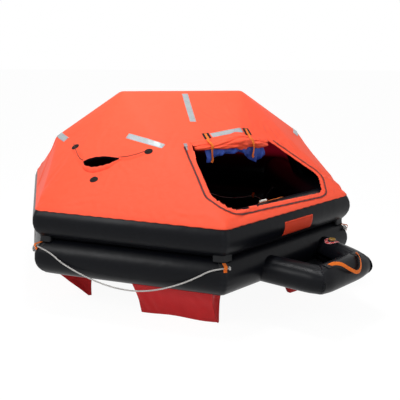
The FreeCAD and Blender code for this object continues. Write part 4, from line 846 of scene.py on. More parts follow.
def drape(points):
    """How far the cloth stands off its flat panels, in metres.

    It sags by 13 mm (1 - exp(-gap / 0.22)) away from the tubes that hold it, carries the panel's folds, fine drape
    lines running up the panel, gathers at the hem, and crumples at the side corners.
    """
    to_arch = np.min([segment_gap(points, a, b)[0] for a, b in zip(ARCH_LINE, ARCH_LINE[1:])], axis=0) - CLOTH_ARCH_R
    ring = [plan(angle, SIDE, HIGH_Z) for angle in (150, 210, 270, 330, 390)]
    to_ring = np.min([segment_gap(points, a, b)[0] for a, b in zip(ring, ring[1:])], axis=0) - CLOTH_R
    gap = np.maximum(np.minimum(to_arch, to_ring), 0)
    offset = -0.013 * (1 - np.exp(-gap / 0.22))
    for side, sign in (("left", -1), ("right", 1)):
        x, y = facet_place(side, points)
        here = smooth(sign * points[..., 0], -0.10, 0.14)
        folds = sum(crease(x, y, *fold) for fold in FOLDS[side])
        slow = noise(x, y, 0.30, 3 if side == "left" else 4)
        lines = np.sin(2 * np.pi * (x / 0.062 + 0.55 * noise(x, y, 0.22, 7)))
        lines = lines * smooth(noise(x, y * 0.4, 0.13, 8), -0.2, 0.7)
        body = smooth(y, 0.08, 0.25) * (1 - smooth(y, 0.72, 0.98))
        hem = hump(y, 0.075) * np.sin(2 * np.pi * (x / 0.085 + 0.7 * noise(x, y, 0.2, 9)))
        corner = hump(x - (1.5 if side == "right" else -0.05), 0.22) * hump(y - 0.08, 0.16)
        crumple = corner * noise(x + 0.6 * y, y - 0.5 * x, 0.06, 10)
        offset = offset + here * (folds + 0.0045 * slow * smooth(gap, 0.0, 0.1) + 0.0016 * lines * body
                                  + 0.0022 * hem + 0.006 * crumple)
    return offset


def canopy_surface(directions):
    """The canopy's outer side along directions from the hub.

    Each face is met at t = (offset - n.hub) / n.d, and the cloth rounds the edges between faces with the soft least
    -s log(sum exp(-t / s)), s = 9 mm. The drape is then added along the face's normal, and the cloth is kept off the
    tubes.
    """
    facing = directions @ PLANE_NORMALS.T
    reach = (PLANE_OFFSETS - PLANE_NORMALS @ HUB) / np.where(facing > 0.02, facing, 0.02)
    reach = np.where(facing > 0.02, reach, 50.0)
    nearest = reach.min(axis=-1, keepdims=True)
    soft = nearest[..., 0] - 0.009 * np.log(np.exp(-(reach - nearest) / 0.009).sum(axis=-1))
    points = HUB + directions * soft[..., None]
    slant = np.take_along_axis(facing, reach.argmin(axis=-1)[..., None], -1)[..., 0]
    points = points + directions * (drape(points) / np.maximum(slant, 0.45))[..., None]
    points = kept_off(points, ARCH_LINE, CLOTH_ARCH_R + CLOTH_GAP)
    return kept_off_ring(points, CLOTH_R + CLOTH_GAP)


def on_panel(side, along, upslope):
    """Points of the cloth at places on a front panel, found by three corrections of the direction from the hub."""
    origin, run, slope, _ = FACETS[side]
    along, upslope = np.broadcast_arrays(np.asarray(along, float), np.asarray(upslope, float))
    target = origin + along[..., None] * run + upslope[..., None] * slope
    points = canopy_surface(unit(target - HUB))
    for _ in range(3):
        x, y = facet_place(side, points)
        points = canopy_surface(unit(points + (along - x)[..., None] * run + (upslope - y)[..., None] * slope - HUB))
    return points


def panel_facing(side, along, upslope, step=0.012):
    """Outward unit normal of the cloth, from the points a step away each way."""
    across = on_panel(side, along + step, upslope) - on_panel(side, along - step, upslope)
    climb = on_panel(side, along, upslope + step) - on_panel(side, along, upslope - step)
    return unit(np.cross(across, climb))


def off_panel(side, along, upslope, lift=0.0):
    """Points standing a lift off the cloth at places on a front panel, and the cloth's outward normals there."""
    facing = panel_facing(side, along, upslope)
    return on_panel(side, along, upslope) + facing * lift, facing


# ---- openings in the canopy

DOOR = [(0.312, 0.800, 0), (0.100, 0.270, 0.100), (0.125, 0.095, 0.090), (1.110, 0.062, 0.090),
        (1.225, 0.225, 0.090), (0.966, 0.640, 0)]
LOOKOUT = [(0.198, 0.446, 0.008), (0.222, 0.408, 0.025), (0.300, 0.392, 0.060), (0.392, 0.428, 0.120),
           (0.478, 0.498, 0.008), (0.350, 0.508, 0.150), (0.266, 0.490, 0.100)]


def filleted(corners, step=0.008):
    """A closed outline with its corners rounded: arcs of each corner's radius, and points about every step."""
    pieces = []
    for k, (x, y, radius) in enumerate(corners):
        here = np.array([x, y])
        back = unit(np.array(corners[k - 1][:2]) - here)
        ahead = unit(np.array(corners[(k + 1) % len(corners)][:2]) - here)
        if radius == 0:
            pieces.append(here[None])
            continue
        half = math.acos(np.clip(back @ ahead, -1, 1)) / 2
        centre = here + unit(back + ahead) * radius / math.sin(half)
        first, last = here + back * radius / math.tan(half), here + ahead * radius / math.tan(half)
        a, b = (math.atan2(*(p - centre)[::-1]) for p in (first, last))
        b += 2 * math.pi * round((a - b) / (2 * math.pi))
        t = np.linspace(a, b, max(3, int(abs(b - a) * radius / step) + 2))
        pieces.append(centre + radius * np.stack([np.cos(t), np.sin(t)], -1))
    loop = np.vstack(pieces + [pieces[0][:1]])
    lengths = travelled(loop)
    count = int(lengths[-1] / step)
    at = np.unique(np.concatenate([np.linspace(0, lengths[-1], count), lengths]))
    return np.stack([np.interp(at, lengths, loop[:, k]) for k in (0, 1)], -1)[:-1]


def grown(corners, margin):
    """An outline moved outwards by a margin."""
    moved = []
    for k, (x, y, radius) in enumerate(corners):
        here = np.array([x, y])
        ua = unit(here - np.array(corners[k - 1][:2]))
        ub = unit(np.array(corners[(k + 1) % len(corners)][:2]) - here)
        na, nb = np.array([ua[1], -ua[0]]), np.array([ub[1], -ub[0]])
        spot = here + (na + nb) * margin / (1 + na @ nb)
        moved.append((spot[0], spot[1], radius + margin if radius else 0))
    return moved


def outline_gap(x, y, outline):
    """Signed distance of places from a closed outline, positive outside, and the nearest place on it."""
    p = np.stack([x, y], -1)
    best, spot, inside = np.full(x.shape, 9.0), p.copy(), np.zeros(x.shape, bool)
    for a, b in zip(outline, np.roll(outline, -1, axis=0)):
        run = b - a
        t = np.clip((p - a) @ run / max(run @ run, 1e-12), 0, 1)
        near = a + t[..., None] * run
        d = np.linalg.norm(p - near, axis=-1)
        closer = d < best
        best, spot = np.where(closer, d, best), np.where(closer[..., None], near, spot)
        crosses = (a[1] > y) != (b[1] > y)
        inside ^= crosses & (x < a[0] + (y - a[1]) / (b[1] - a[1] if b[1] != a[1] else 1e-9) * run[0])
    return np.where(inside, -best, best), spot


EDGE_REACH = 0.0066              # how near an opening's edge a point is moved onto it


def canopy_half(name, columns, rows, openings, mirrored):
    """One half of the canopy as a sheet, from its hem to the arch.

    Directions from the hub are (cos a, -sin a cos b, sin a sin b): a runs along the hem from side to side and b climbs
    from the hem to the arch. Where an opening's edge passes, the nearest points are moved onto it.
    """
    p = canopy_corners(SKIN_LIFT)
    hem_mid = np.array([p["hem_right"][0], 0, p["hem_right"][2]])
    hem_line = np.array([hem_mid, p["hem_right"], p["hem_front"], p["hem_left"], hem_mid * [-1, 1, 1]])
    lengths = travelled(hem_line)
    s = np.linspace(0, lengths[-1], columns)
    hem = np.stack([np.interp(s, lengths, hem_line[:, k]) for k in range(3)], -1)
    a = np.arctan2(-hem[:, 1], hem[:, 0])[:, None]
    climb = np.linspace(0, 1, rows)
    b = (climb ** 1.12 * np.pi / 2)[None, :]
    directions = stacked(np.cos(a), -np.sin(a) * np.cos(b), np.sin(a) * np.sin(b))
    points = canopy_surface(directions)
    keep = np.ones((columns - 1, rows - 1), bool)
    for side, corners in openings:
        outline = filleted(corners)
        x, y = facet_place(side, points)
        sign = 1 if side == "right" else -1
        near = np.sign(points[..., 0] + sign * 0.06) == sign
        gap, spot = outline_gap(x, y, outline)
        gap = np.where(near & (points[..., 1] < -0.05), gap, 1.0)
        snap = np.abs(gap) < EDGE_REACH
        points[snap] = on_panel(side, spot[snap][:, 0], spot[snap][:, 1])
        gap = np.where(snap, 0, gap)
        keep &= (gap[:-1, :-1] + gap[1:, :-1] + gap[1:, 1:] + gap[:-1, 1:]) / 4 > 1e-6
    if mirrored:
        points = points * [1, -1, 1]
    metres = stacked(s[:, None], climb[None, :] * 1.45)
    sheet = Cloth().grid(points, metres, keep=keep, flip=mirrored)
    # its inner side takes the inside's painted shade
    return thicken(sheet.piece(name, "canopy_fabric", False, INSIDE_SHADE), CANOPY_THICK, inner=True)


canopy_front = canopy_half("canopy_front", 340, 150, [("right", DOOR), ("left", LOOKOUT)], False)
canopy_rear = canopy_half("canopy_rear", 260, 110, [], True)


# ---- trim on the canopy

def strip_on_panel(side, places, width, lift, thick, crown=0.0, mirrored=False, count=7):
    """A band lying on the cloth along places on a panel: its section stands on the cloth's own normal."""
    places = np.asarray(places, float)
    line, up = off_panel(side, places[:, 0], places[:, 1])
    if mirrored:
        line, up = line * [1, -1, 1], up * [1, -1, 1]
    return ribbon(line, up, band_profile(width, thick, lift, crown, count))


def straight(start, end, step=0.012):
    """Places in a straight line, about every step."""
    count = max(3, int(math.dist(start, end) / step) + 1)
    return np.linspace(start, end, count)


TAPE_WIDTH, TAPE_LIFT, TAPE_THICK = 0.050, 0.0006, 0.0009


def crest_places():
    """The crest tape's line from near the arch down the middle panel, as places on the left panel."""
    spots = np.stack([np.full(24, 0.006), np.linspace(-0.062, -0.382, 24), np.full(24, 0.0)], -1)
    spots[:, 2] = 1.524 + (spots[:, 1] + 0.034) * 0.56
    return np.stack(facet_place("left", canopy_surface(unit(spots - HUB))), -1)


def canopy_tapes():
    """Reflective tapes on the panels, along the crest and over the arch's knees."""
    runs = {"tape_left_panel": ("left", straight((0.459, 0.721), (0.765, 0.645))),
            "tape_door": ("right", straight((0.519, 0.808), (0.780, 0.767))), "tape_crest": ("left", crest_places())}
    cloths = {name: Cloth() for name in ("tape_left_panel", "tape_door", "tapes_rear", "tape_crest")}
    for name, (side, places) in runs.items():
        for cloth, mirrored in ((cloths[name], False), (cloths["tapes_rear"], True)):
            cloth.grid(*strip_on_panel(side, places, TAPE_WIDTH, TAPE_LIFT, TAPE_THICK, mirrored=mirrored))
    for name, cloth in cloths.items():
        cloth.piece(name, "reflective_tape")
    cloth = Cloth()
    for sign in (-1, 1):
        y = np.linspace(0.0, -0.150, 14)
        spots = stacked(sign * 0.9925, y, 1.186)
        line, above, below = (canopy_surface(unit(spots + [0.0, 0.0, dz] - HUB)) for dz in (0.0, 0.02, -0.02))
        up = unit(np.cross(headings(line), above - below))
        up *= np.sign(up[:, :1] * sign)
        cloth.grid(*ribbon(line, up, band_profile(0.052, TAPE_THICK, 0.0008)))
    cloth.piece("tapes_shoulder", "reflective_tape")


canopy_tapes()


def door_zip_and_patches():
    """The zip round the doorway, open at the top, and the dark patches that hold ties and cords."""
    loop = filleted(grown(DOOR, 0.040), 0.010)
    top = 0.922 + (loop[:, 0] + 0.4) * (0.551 - 0.922) / 1.8
    below = loop[:, 1] < top
    first = int(np.argmax(below & ~np.roll(below, 1)))
    loop, below = np.roll(loop, -first, axis=0), np.roll(below, -first)
    Cloth().grid(*strip_on_panel("right", loop[below], 0.020, 0.0005, 0.0012, 0.0009, count=9)).piece(
        "door_zip", "zip_tape")
    cloth = Cloth()
    for top_place, low_place in (((0.492, 0.850), (0.470, 0.776)), ((0.822, 0.781), (0.808, 0.711))):
        cloth.grid(*strip_on_panel("right", straight(top_place, low_place), 0.056, 0.0005, 0.0011, 0.0003))
    cloth.piece("tie_patches", "dark_patch")
    cloth = Cloth()
    for along, upslope in ((0.066, 0.600), (0.668, 0.584), (0.336, 0.290)):
        share, turn = np.linspace(0, 1, 7), np.linspace(0, 2 * np.pi, 33)
        x, y = 0.031 * np.outer(share, np.cos(turn)), 0.025 * np.outer(share, np.sin(turn))
        tilt = math.radians(20)
        places = along + x * math.cos(tilt) - y * math.sin(tilt), upslope + x * math.sin(tilt) + y * math.cos(tilt)
        skin, facing = off_panel("left", *places)
        rim = np.concatenate([facing * 0.0021 + skin, (skin + facing * 0.0004)[-1:], (skin + facing * 0.0004)[:1]])
        metres = np.stack([np.concatenate([x, x[-1:], x[:1]]), np.concatenate([y, y[-1:], y[:1]])], -1)
        cloth.grid(rim, metres)
    cloth.piece("lookout_patches", "dark_patch")


door_zip_and_patches()


def lookout_sleeve():
    """The lookout's cloth sleeve: a collar round the mouth, fullest below it, that turns in and hangs inside.

    Round the mouth the lip's height is 6 + 11 (below) mm, and across it the cloth rises from the panel, rolls over the
    edge and drops 20 mm behind the panel.
    """
    edge = filleted(LOOKOUT, 0.006)
    edge = np.vstack([edge, edge[:1]])
    middle = edge.mean(axis=0)
    ahead = unit(np.gradient(edge, axis=0))
    out = np.stack([ahead[:, 1], -ahead[:, 0]], -1)
    under = smooth(middle[1] + 0.01 - edge[:, 1], -0.03, 0.07)
    under = under * smooth(edge[:, 0], 0.19, 0.26) * (1 - smooth(edge[:, 0], 0.40, 0.48))
    share = np.linspace(0, 1, 15)
    away = np.interp(share, [0, 0.25, 0.5, 0.75, 1], [1.0, 0.72, 0.34, -0.02, -0.04])
    rise = np.interp(share, [0, 0.25, 0.5, 0.66, 0.8, 1], [0.02, 0.45, 0.97, 1.0, 0.5, -0.2])
    size = 0.013 + 0.030 * under
    height = 0.0060 + 0.011 * under
    ruck = 1 + 0.22 * np.sin(2 * np.pi * travelled(edge) / 0.045 + 1.5) * smooth(under, 0.0, 0.5)
    places = edge[:, None] + out[:, None] * (size[:, None] * away[None, :])[..., None]
    skin = on_panel("left", places[..., 0], places[..., 1])
    facing = panel_facing("left", edge[:, 0], edge[:, 1])
    lift = (height * ruck)[:, None] * rise[None, :] - 0.020 * smooth(share, 0.78, 1.0)[None, :]
    points = skin + facing[:, None] * lift[..., None]
    metres = stacked(travelled(edge)[:, None], share[None, :] * 0.06)
    # painted shade at the outer foot of the lower lip, fading up to the lip's crest
    shade = 0.45 * under[:, None] * (1 - smooth(share, 0.05, 0.5))[None, :]
    # the part turned in behind the panel takes the inside's painted shade
    inner = np.broadcast_to(share[:-1] > 0.6, (len(edge) - 1, len(share) - 1))
    sleeve = Cloth().grid(points, metres, shade, second=inner).piece("lookout_sleeve", "canopy_fabric", False, INSIDE_SHADE)
    return thicken(sleeve, SLEEVE_THICK, 0.0)


lookout_sleeve()


# ---- rolled door and its ties

ROLL_LINE = [(0.330, 0.752), (0.395, 0.736), (0.448, 0.723), (0.530, 0.705), (0.620, 0.686), (0.700, 0.672),
             (0.750, 0.660), (0.788, 0.646), (0.850, 0.632), (0.905, 0.619), (0.955, 0.609)]
ROLL_SIZE = [0.016, 0.026, 0.024, 0.034, 0.045, 0.054, 0.051, 0.032, 0.034, 0.028, 0.016]
ROLL_LIFT, ROLL_FLAT, ROOT_LIFT = -0.020, 0.80, 0.0026


def door_top(along):
    """Height up the panel of the doorway's top edge."""
    (x0, y0, _), (x1, y1, _) = DOOR[0], DOOR[-1]
    return y0 + (along - x0) * (y1 - y0) / (x1 - x0)


def rolled_door():
    """The door flap rolled up along the doorway's top, tied thin in two places, and the flap's root over the edge.

    r = size (1 + 0.09 sin(3t + 9s) + 0.06 sin(7t - 34s) + 0.1 noise) with two folds running along the roll.
    """
    places = spline([(*p, s) for p, s in zip(ROLL_LINE, ROLL_SIZE)], 0.007)
    along, upslope, size = places.T
    line, facing = off_panel("right", along, upslope, ROLL_LIFT)
    turn = np.linspace(0, 2 * np.pi, 60, endpoint=False)[None, :]
    s = travelled(line)[:, None]
    ruffle = 1 + 0.09 * np.sin(3 * turn + 9 * s) + 0.06 * np.sin(7 * turn - 34 * s)
    ruffle = ruffle + 0.10 * noise(turn * 0.05, s, 0.035, 21)
    groove = -0.20 * hump((turn - 2.4 - 1.3 * np.sin(6 * s)) % (2 * np.pi) - np.pi, 0.16)
    groove = groove - 0.16 * hump((turn - 4.3 + 0.9 * np.sin(8 * s + 1)) % (2 * np.pi) - np.pi, 0.14)
    r = size[:, None] * (ruffle + groove)
    cloth = Cloth().grid(*ribbon(line, facing, np.stack([r * np.cos(turn), ROLL_FLAT * r * np.sin(turn)], -1)))
    along = np.linspace(0.322, 0.960, 90)
    size = np.interp(along, [p[0] for p in ROLL_LINE], ROLL_SIZE)
    centre = np.interp(along, [p[0] for p in ROLL_LINE], [p[1] for p in ROLL_LINE])
    v = np.linspace(0, 1, 14)[None, :]
    facing = panel_facing("right", along, door_top(along))[:, None]
    start = door_top(along)[:, None] + 0.017 + 0.05 * np.maximum(size[:, None] - 0.04, 0) / 0.014
    along, size, centre = along[:, None], size[:, None], centre[:, None]
    start = start + 0.006 * noise(along, 0, 0.05, 22)
    places = start + (centre + 0.35 * size - start) * v
    lift = ROOT_LIFT + (ROLL_LIFT + 0.78 * size - ROOT_LIFT) * smooth(v, 0.1, 0.95)
    lift = np.maximum(lift, ROOT_LIFT * (1 - v)) + 0.003 * np.sin(along * 150 + 5 * v) * smooth(v, 0.1, 0.5) * (1 - v)
    skin = on_panel("right", along + 0 * v, places)
    metres = stacked(along, places)
    sandwich(cloth, skin + facing * (lift - 0.0012)[..., None], skin + facing * (lift + 0.0004)[..., None], metres)
    cloth.piece("door_flap_roll", "canopy_fabric")


rolled_door()


def door_lining():
    """The flap's lining hanging below the roll: a ruffled band whose waves of 13 mm grow downwards."""
    places = spline([(a + 0.005, u - 0.5 * s) for (a, u), s in zip(ROLL_LINE[1:-1], ROLL_SIZE[1:-1])], 0.005)
    along, upslope = places.T
    v = np.linspace(0, 1, 26)[None, :]
    s = travelled(places)[:, None]
    drop = 0.078 + 0.022 * noise(s, 0, 0.09, 31) + 0.010 * np.sin(s * 31)
    drop = drop + 0.030 * (hump(along[:, None] - 0.80, 0.07) - hump(along[:, None] - 0.66, 0.06))
    wave = np.sin(s * 62 + 2.4 * noise(s, v * 0.1, 0.07, 33)) * 0.013 * (0.3 + 0.7 * v)
    wave = wave + 0.004 * np.sin(s * 137 + 4 * v) + 0.018 * np.sin(np.pi * v * 0.8)
    top, _ = off_panel("right", along, upslope, -0.034)
    points = top[:, None] - UP * (v * drop)[..., None] + OUT["boarding"] * wave[..., None]
    metres = stacked(s, v * 0.08)
    sheet = Cloth().grid(points, metres).piece("door_lining_roll", "lining_fabric", outward=False)
    return thicken(sheet, LINING_THICK, 0.0)


lining = door_lining()

WEBBING_STEP = 0.006


def webbing(name, runs, width, thick, slot="orange_webbing"):
    """Webbing through stations of (point, direction of its face), a flat band carried along a smooth line."""
    cloth = Cloth()
    for stations in runs:
        both = spline([np.concatenate(station) for station in stations], WEBBING_STEP)
        line, up = both[:, :3], unit(both[:, 3:])
        ahead = headings(line)
        up = unit(up - ahead * np.sum(up * ahead, axis=1, keepdims=True))
        cloth.grid(*ribbon(line, up, band_profile(width, thick, 0.0, thick * 0.12)))
    return cloth.piece(name, slot)


def tie_straps():
    """The door's two ties: from their patches down over the roll, with loose ends hanging straight down."""
    runs = []
    for start, (along, roll), size, hang in (((0.489, 0.842), (0.448, 0.723), 0.026, 0.125),
                                             ((0.820, 0.773), (0.788, 0.646), 0.036, 0.105)):
        over = ROLL_LIFT + size * ROLL_FLAT + 0.004
        middle = (start[0] + along) / 2
        route = [(*start, 0.0024), ((start[0] + middle) / 2, (start[1] + roll + 0.062) / 2, 0.0026),
                 (middle, roll + 0.062, 0.0060), (along, roll + 0.030, over * 0.5 + 0.008), (along, roll, over + 0.004),
                 (along, roll - 0.75 * size, over - 0.25 * size)]
        stations = [off_panel("right", *spot) for spot in route]
        last = stations[-1][0]
        side = side_axes("boarding")[1]
        for k, share in enumerate((0.3, 0.6, 0.85, 1.0)):
            sway = side * 0.006 * math.sin(2.2 * k + along * 9) + OUT["boarding"] * 0.004 * (1 - share)
            stations.append((last - UP * hang * share + sway, unit(OUT["boarding"] + 0.25 * side * math.sin(k + 1))))
        runs.append(stations)
    webbing("tie_straps", runs, 0.020, 0.0022)


tie_straps()


# ---- patches, tabs and straps on the tubes

def tube_patch(side, start, end, low, high, height, radius, thick):
    """A patch bonded to a side's tube between two places along it and two angles round it, with eased edges."""
    s = np.linspace(start, end, max(4, int(abs(end - start) / 0.012)))
    t = np.radians(np.linspace(low, high, max(5, int(abs(math.radians(high - low)) / 0.06))))
    grid_s, grid_t = squared(s, t)
    edge = np.minimum.reduce([grid_s - start, end - grid_s, radius * (grid_t - t[0]), radius * (t[-1] - grid_t)])
    r = radius + thick * (0.55 + 0.45 * smooth(edge, 0, 0.004))
    base = side_point(side, grid_s, (radius + 0.0002) * np.cos(grid_t), height + (radius + 0.0002) * np.sin(grid_t))
    top = side_point(side, grid_s, r * np.cos(grid_t), height + r * np.sin(grid_t))
    metres = np.stack([grid_s, radius * grid_t], -1)
    return base, top, metres


def tube_trim():
    """The boarding patch, the boarding strap and the pads under the ramp's handle."""
    base, top, metres = tube_patch("boarding", 0.505, 0.828, -32, 11, HIGH_Z, TUBE_R, 0.0022)
    inset = np.minimum(metres - metres.min(axis=(0, 1)), metres.max(axis=(0, 1)) - metres).min(axis=-1)
    line = hump(inset - 0.009, 0.0035)
    sandwich(Cloth(), base, top, metres, line).piece("boarding_patch", "boarding_patch")
    angle = 180 - math.degrees(math.acos(0.0475 / (TUBE_R + 0.001)))
    t = math.radians(angle)
    stations = []
    for along in np.linspace(0.443, 0.694, 9):
        r = TUBE_R + 0.0006 + 0.0015 * abs(math.sin(along * 40))
        point = side_point("boarding", along, r * math.cos(t), HIGH_Z + r * math.sin(t))
        stations.append((point, unit(OUT["boarding"] * math.cos(t) + UP * math.sin(t))))
    webbing("boarding_strap", [stations], 0.025, 0.002)
    cloth = Cloth()
    for start, end in ((0.500, 0.564), (0.838, 0.902)):
        base, top, metres = tube_patch("boarding", start, end, 64, 101, RAMP_Z, RAMP_R, 0.002)
        bar = OUT["boarding"] * RAMP_PLAN[1][1]
        sandwich(cloth, base + bar, top + bar, metres)
    cloth.piece("handle_patches", "patch_fabric")


tube_trim()

TAB_MID, TAB_TURN, LOOP_R = 0.098, 9.5, 0.015
TAB_SKIN = TUBE_R + 0.0023
TAB_OUT = math.sqrt(TAB_SKIN ** 2 - TAB_MID ** 2)
LOOP_RADIUS = (APOTHEM + TAB_OUT) / COS30 + LOOP_R * 1.1


def loop_stations(frame_at, skin_at, radius):
    """Webbing down a skin, out round a ring's circle and back down the skin, as (point, face) stations."""
    stations = []
    for angle, gap in ((16, 0.0030), (TAB_TURN, 0.0032)):
        stations.append((skin_at(angle, gap), skin_at(angle, 1.0) - skin_at(angle, 0.0)))
    for turn in np.radians([115, 70, 25, -20, -65, -110]):
        out, rise = math.cos(turn), math.sin(turn)
        stations.append((frame_at(radius * out, radius * rise), frame_at(out, rise) - frame_at(0, 0)))
    for angle, gap in ((-TAB_TURN, 0.0032), (-15, 0.0030)):
        stations.append((skin_at(angle, gap), skin_at(angle, 1.0) - skin_at(angle, 0.0)))
    return stations


def lifeline_tabs():
    """At each corner of the lower tube a patch folded round it and a webbing loop for the lifeline."""
    cloth_runs, patches = [], Cloth()
    skin_turn = math.degrees(math.asin(TAB_MID / TAB_SKIN))
    for bearing in CORNERS.values():
        radial = plan(bearing, 1)

        def frame_at(out, rise, radial=radial):
            return radial * (LOOP_RADIUS + out) + UP * (LOW_Z + TAB_MID + rise)

        def skin_at(angle, gap, radial=radial):
            t = math.radians(skin_turn + angle)
            r = TUBE_R + gap
            return radial * ((APOTHEM + r * math.cos(t)) / COS30) + UP * (LOW_Z + r * math.sin(t))

        cloth_runs.append(loop_stations(frame_at, skin_at, LOOP_R - 0.001))
        s = np.linspace(-0.032, 0.032, 25)
        t = np.radians(skin_turn + np.linspace(-TAB_TURN, TAB_TURN, 9))
        grid_s, grid_t = squared(s, t)
        tangent = plan(bearing + 90, 1)

        def at(r):
            reach = (APOTHEM + r * np.cos(grid_t)) / COS30 - np.sqrt(grid_s ** 2 + 4e-5) * TAN30
            level = LOW_Z + r * np.sin(grid_t)
            return reach[..., None] * radial + grid_s[..., None] * tangent + level[..., None] * UP

        metres = np.stack([grid_s, TUBE_R * grid_t], -1)
        sandwich(patches, at(TUBE_R - 0.001), at(TUBE_R + 0.0022), metres)
    webbing("lifeline_tabs", cloth_runs, 0.024, 0.0024)
    patches.piece("lifeline_tab_patches", "patch_fabric")


lifeline_tabs()


def grab_tabs():
    """Pads and webbing loops for the grab line on the lower tube's inner side."""
    runs, patches = [], Cloth()
    for side, along, rise in (("right", 1.020, 0.030), ("rear_right", 0.180, 0.044), ("rear_right", 0.640, 0.030)):
        skin_turn = 180 - math.degrees(math.asin(rise / TUBE_R))
        low, high = (180 - math.degrees(math.asin(v / TUBE_R)) for v in (rise + 0.02, rise - 0.02))
        sandwich(patches, *tube_patch(side, along - 0.03, along + 0.03, low, high, LOW_Z, TUBE_R, 0.002))

        def frame_at(out, up, side=side, along=along, rise=rise):
            return side_point(side, along, -0.157 - out, LOW_Z + rise + 0.0005 + up)

        def skin_at(angle, gap, side=side, along=along, skin_turn=skin_turn):
            t = math.radians(skin_turn - angle * 0.62)
            r = TUBE_R + gap
            return side_point(side, along, r * math.cos(t), LOW_Z + r * math.sin(t))

        runs.append(loop_stations(frame_at, skin_at, 0.0105))
    webbing("grab_line_tabs", runs, 0.020, 0.002)
    patches.piece("grab_tab_patches", "patch_fabric")


grab_tabs()


def corner_gussets():
    """Filler plates across the crease between the tubes at each corner, bowed in by 5 mm at mid height."""
    cloth = Cloth()
    for bearing in CORNERS.values():
        radial, tangent = plan(bearing, 1), plan(bearing + 90, 1)
        s, h = np.linspace(-0.064, 0.064, 27), np.linspace(0, 1, 11)
        grid_s, grid_h = squared(s, h)
        reach = (APOTHEM + 0.103) / COS30 - np.sqrt(grid_s ** 2 + 6e-5) * TAN30
        level = JOIN_Z - 0.014 + 0.060 * grid_h + 0.002 * noise(grid_s, grid_h, 0.04, 41)
        reach = reach - 0.005 * np.sin(np.pi * grid_h)
        outer = reach[..., None] * radial + grid_s[..., None] * tangent + level[..., None] * UP
        sandwich(cloth, outer - radial * 0.030, outer, np.stack([grid_s, grid_h * 0.06], -1))
    cloth.piece("corner_gussets", "patch_fabric")


corner_gussets()

HANDLE_ROUTE = [(0.530, 0.507, 0.092), (0.560, 0.530, 0.108), (0.600, 0.566, 0.104), (0.660, 0.602, 0.062),
                (0.725, 0.616, 0.030), (0.780, 0.606, 0.044), (0.822, 0.572, 0.088), (0.850, 0.530, 0.108),
                (0.872, 0.507, 0.092)]


def ramp_handle():
    """The webbing handle over the ramp's outer end, standing off it between its two pads."""
    spots = np.array([side_point("boarding", along, out, RAMP_Z + rise) for along, out, rise in HANDLE_ROUTE])
    centre = side_point("boarding", 0.700, 0.455, RAMP_Z)
    ahead = headings(spots)
    away = spots - centre
    away = unit(away - ahead * np.sum(away * ahead, axis=1, keepdims=True))
    webbing("ramp_handle", [[*zip(spots, away)]], 0.025, 0.003)


ramp_handle()


def ring_label():
    """The printed ring round the ramp's valve: a flat ring laid on the round tube."""
    share, turn = np.linspace(0, 1, 9), np.linspace(0, 2 * np.pi, 73)
    radius = 0.0345 + 0.0212 * share[:, None]
    side = unit(np.cross(RAMP_ARM, UP))
    x, y = radius * np.cos(turn), radius * np.sin(turn)
    centre = RAMP_SEAT - UP * RAMP_SEAT_UP

    def at(r):
        flat = centre + x[..., None] * RAMP_ARM + y[..., None] * side
        return flat + np.sqrt(np.maximum(r * r - y ** 2, 0))[..., None] * UP

    metres = stacked(share[:, None], turn[None, :] / (2 * np.pi))
    sandwich(Cloth(), at(RAMP_R + 0.0004), at(RAMP_R + 0.0021), metres).piece("valve_ring_label", "ring_label")


ring_label()


# ---- floors and ballast pockets

def floors():
    """The cabin floor, a hexagon sagging into shallow waves, and the ramp's floor sheet."""
    share, bearing = np.linspace(0, 1, 48)[:, None], np.radians(np.arange(0, 361, 2.5))[None, :]
    sector = (bearing + math.pi / 6) % (math.pi / 3) - math.pi / 6
    reach = (APOTHEM - 0.088) / np.cos(sector) * share
    x, y = reach * np.cos(bearing), reach * np.sin(bearing)
    wave = 0.0012 * noise(x, y, 0.16, 51) + 0.0008 * noise(x, y, 0.06, 52)
    points = np.stack([x, y, FLOOR_Z + 0.0042 + wave * (1 - share)], -1)
    floor = Cloth().grid(points, np.stack([x, y], -1)).piece("floor_sheet", "floor_fabric", outward=False)
    thicken(floor, 0.0032)
    a, b = np.linspace(0, 1, 40)[:, None], np.linspace(0, 1, 40)[None, :]
    (s0, _), (s1, o1), (s2, _), (s3, _) = RAMP_PLAN
    along = (s0 + (s1 - s0) * b) * (1 - a) + (s3 + (s2 - s3) * b) * a
    out = 0.01 + (o1 - 0.01) * b + 0 * a
    sag = 0.010 * np.sin(np.pi * a) * np.sin(np.pi * b) + 0.0015 * noise(along, out, 0.05, 53)
    points = side_point("boarding", along, out, RAMP_Z - 0.0565 - sag)
    sheet = Cloth().grid(points, stacked(along, out))
    ramp = sheet.piece("ramp_floor", "patch_fabric", outward=False)
    thicken(ramp, 0.002, 0.0)
    return floor, ramp


floor_sheet, ramp_floor = floors()

POCKETS = {"front": ("lookout", 0.640, 0.100, 61), "left": ("left", 0.525, 0.250, 62),
           "boarding": ("boarding", 0.655, 0.060, 63), "rear_right": ("rear_right", 0.330, 0.180, 64),
           "rear_left": ("rear_left", 0.330, 0.180, 65)}
POCKET_LEN = 0.58


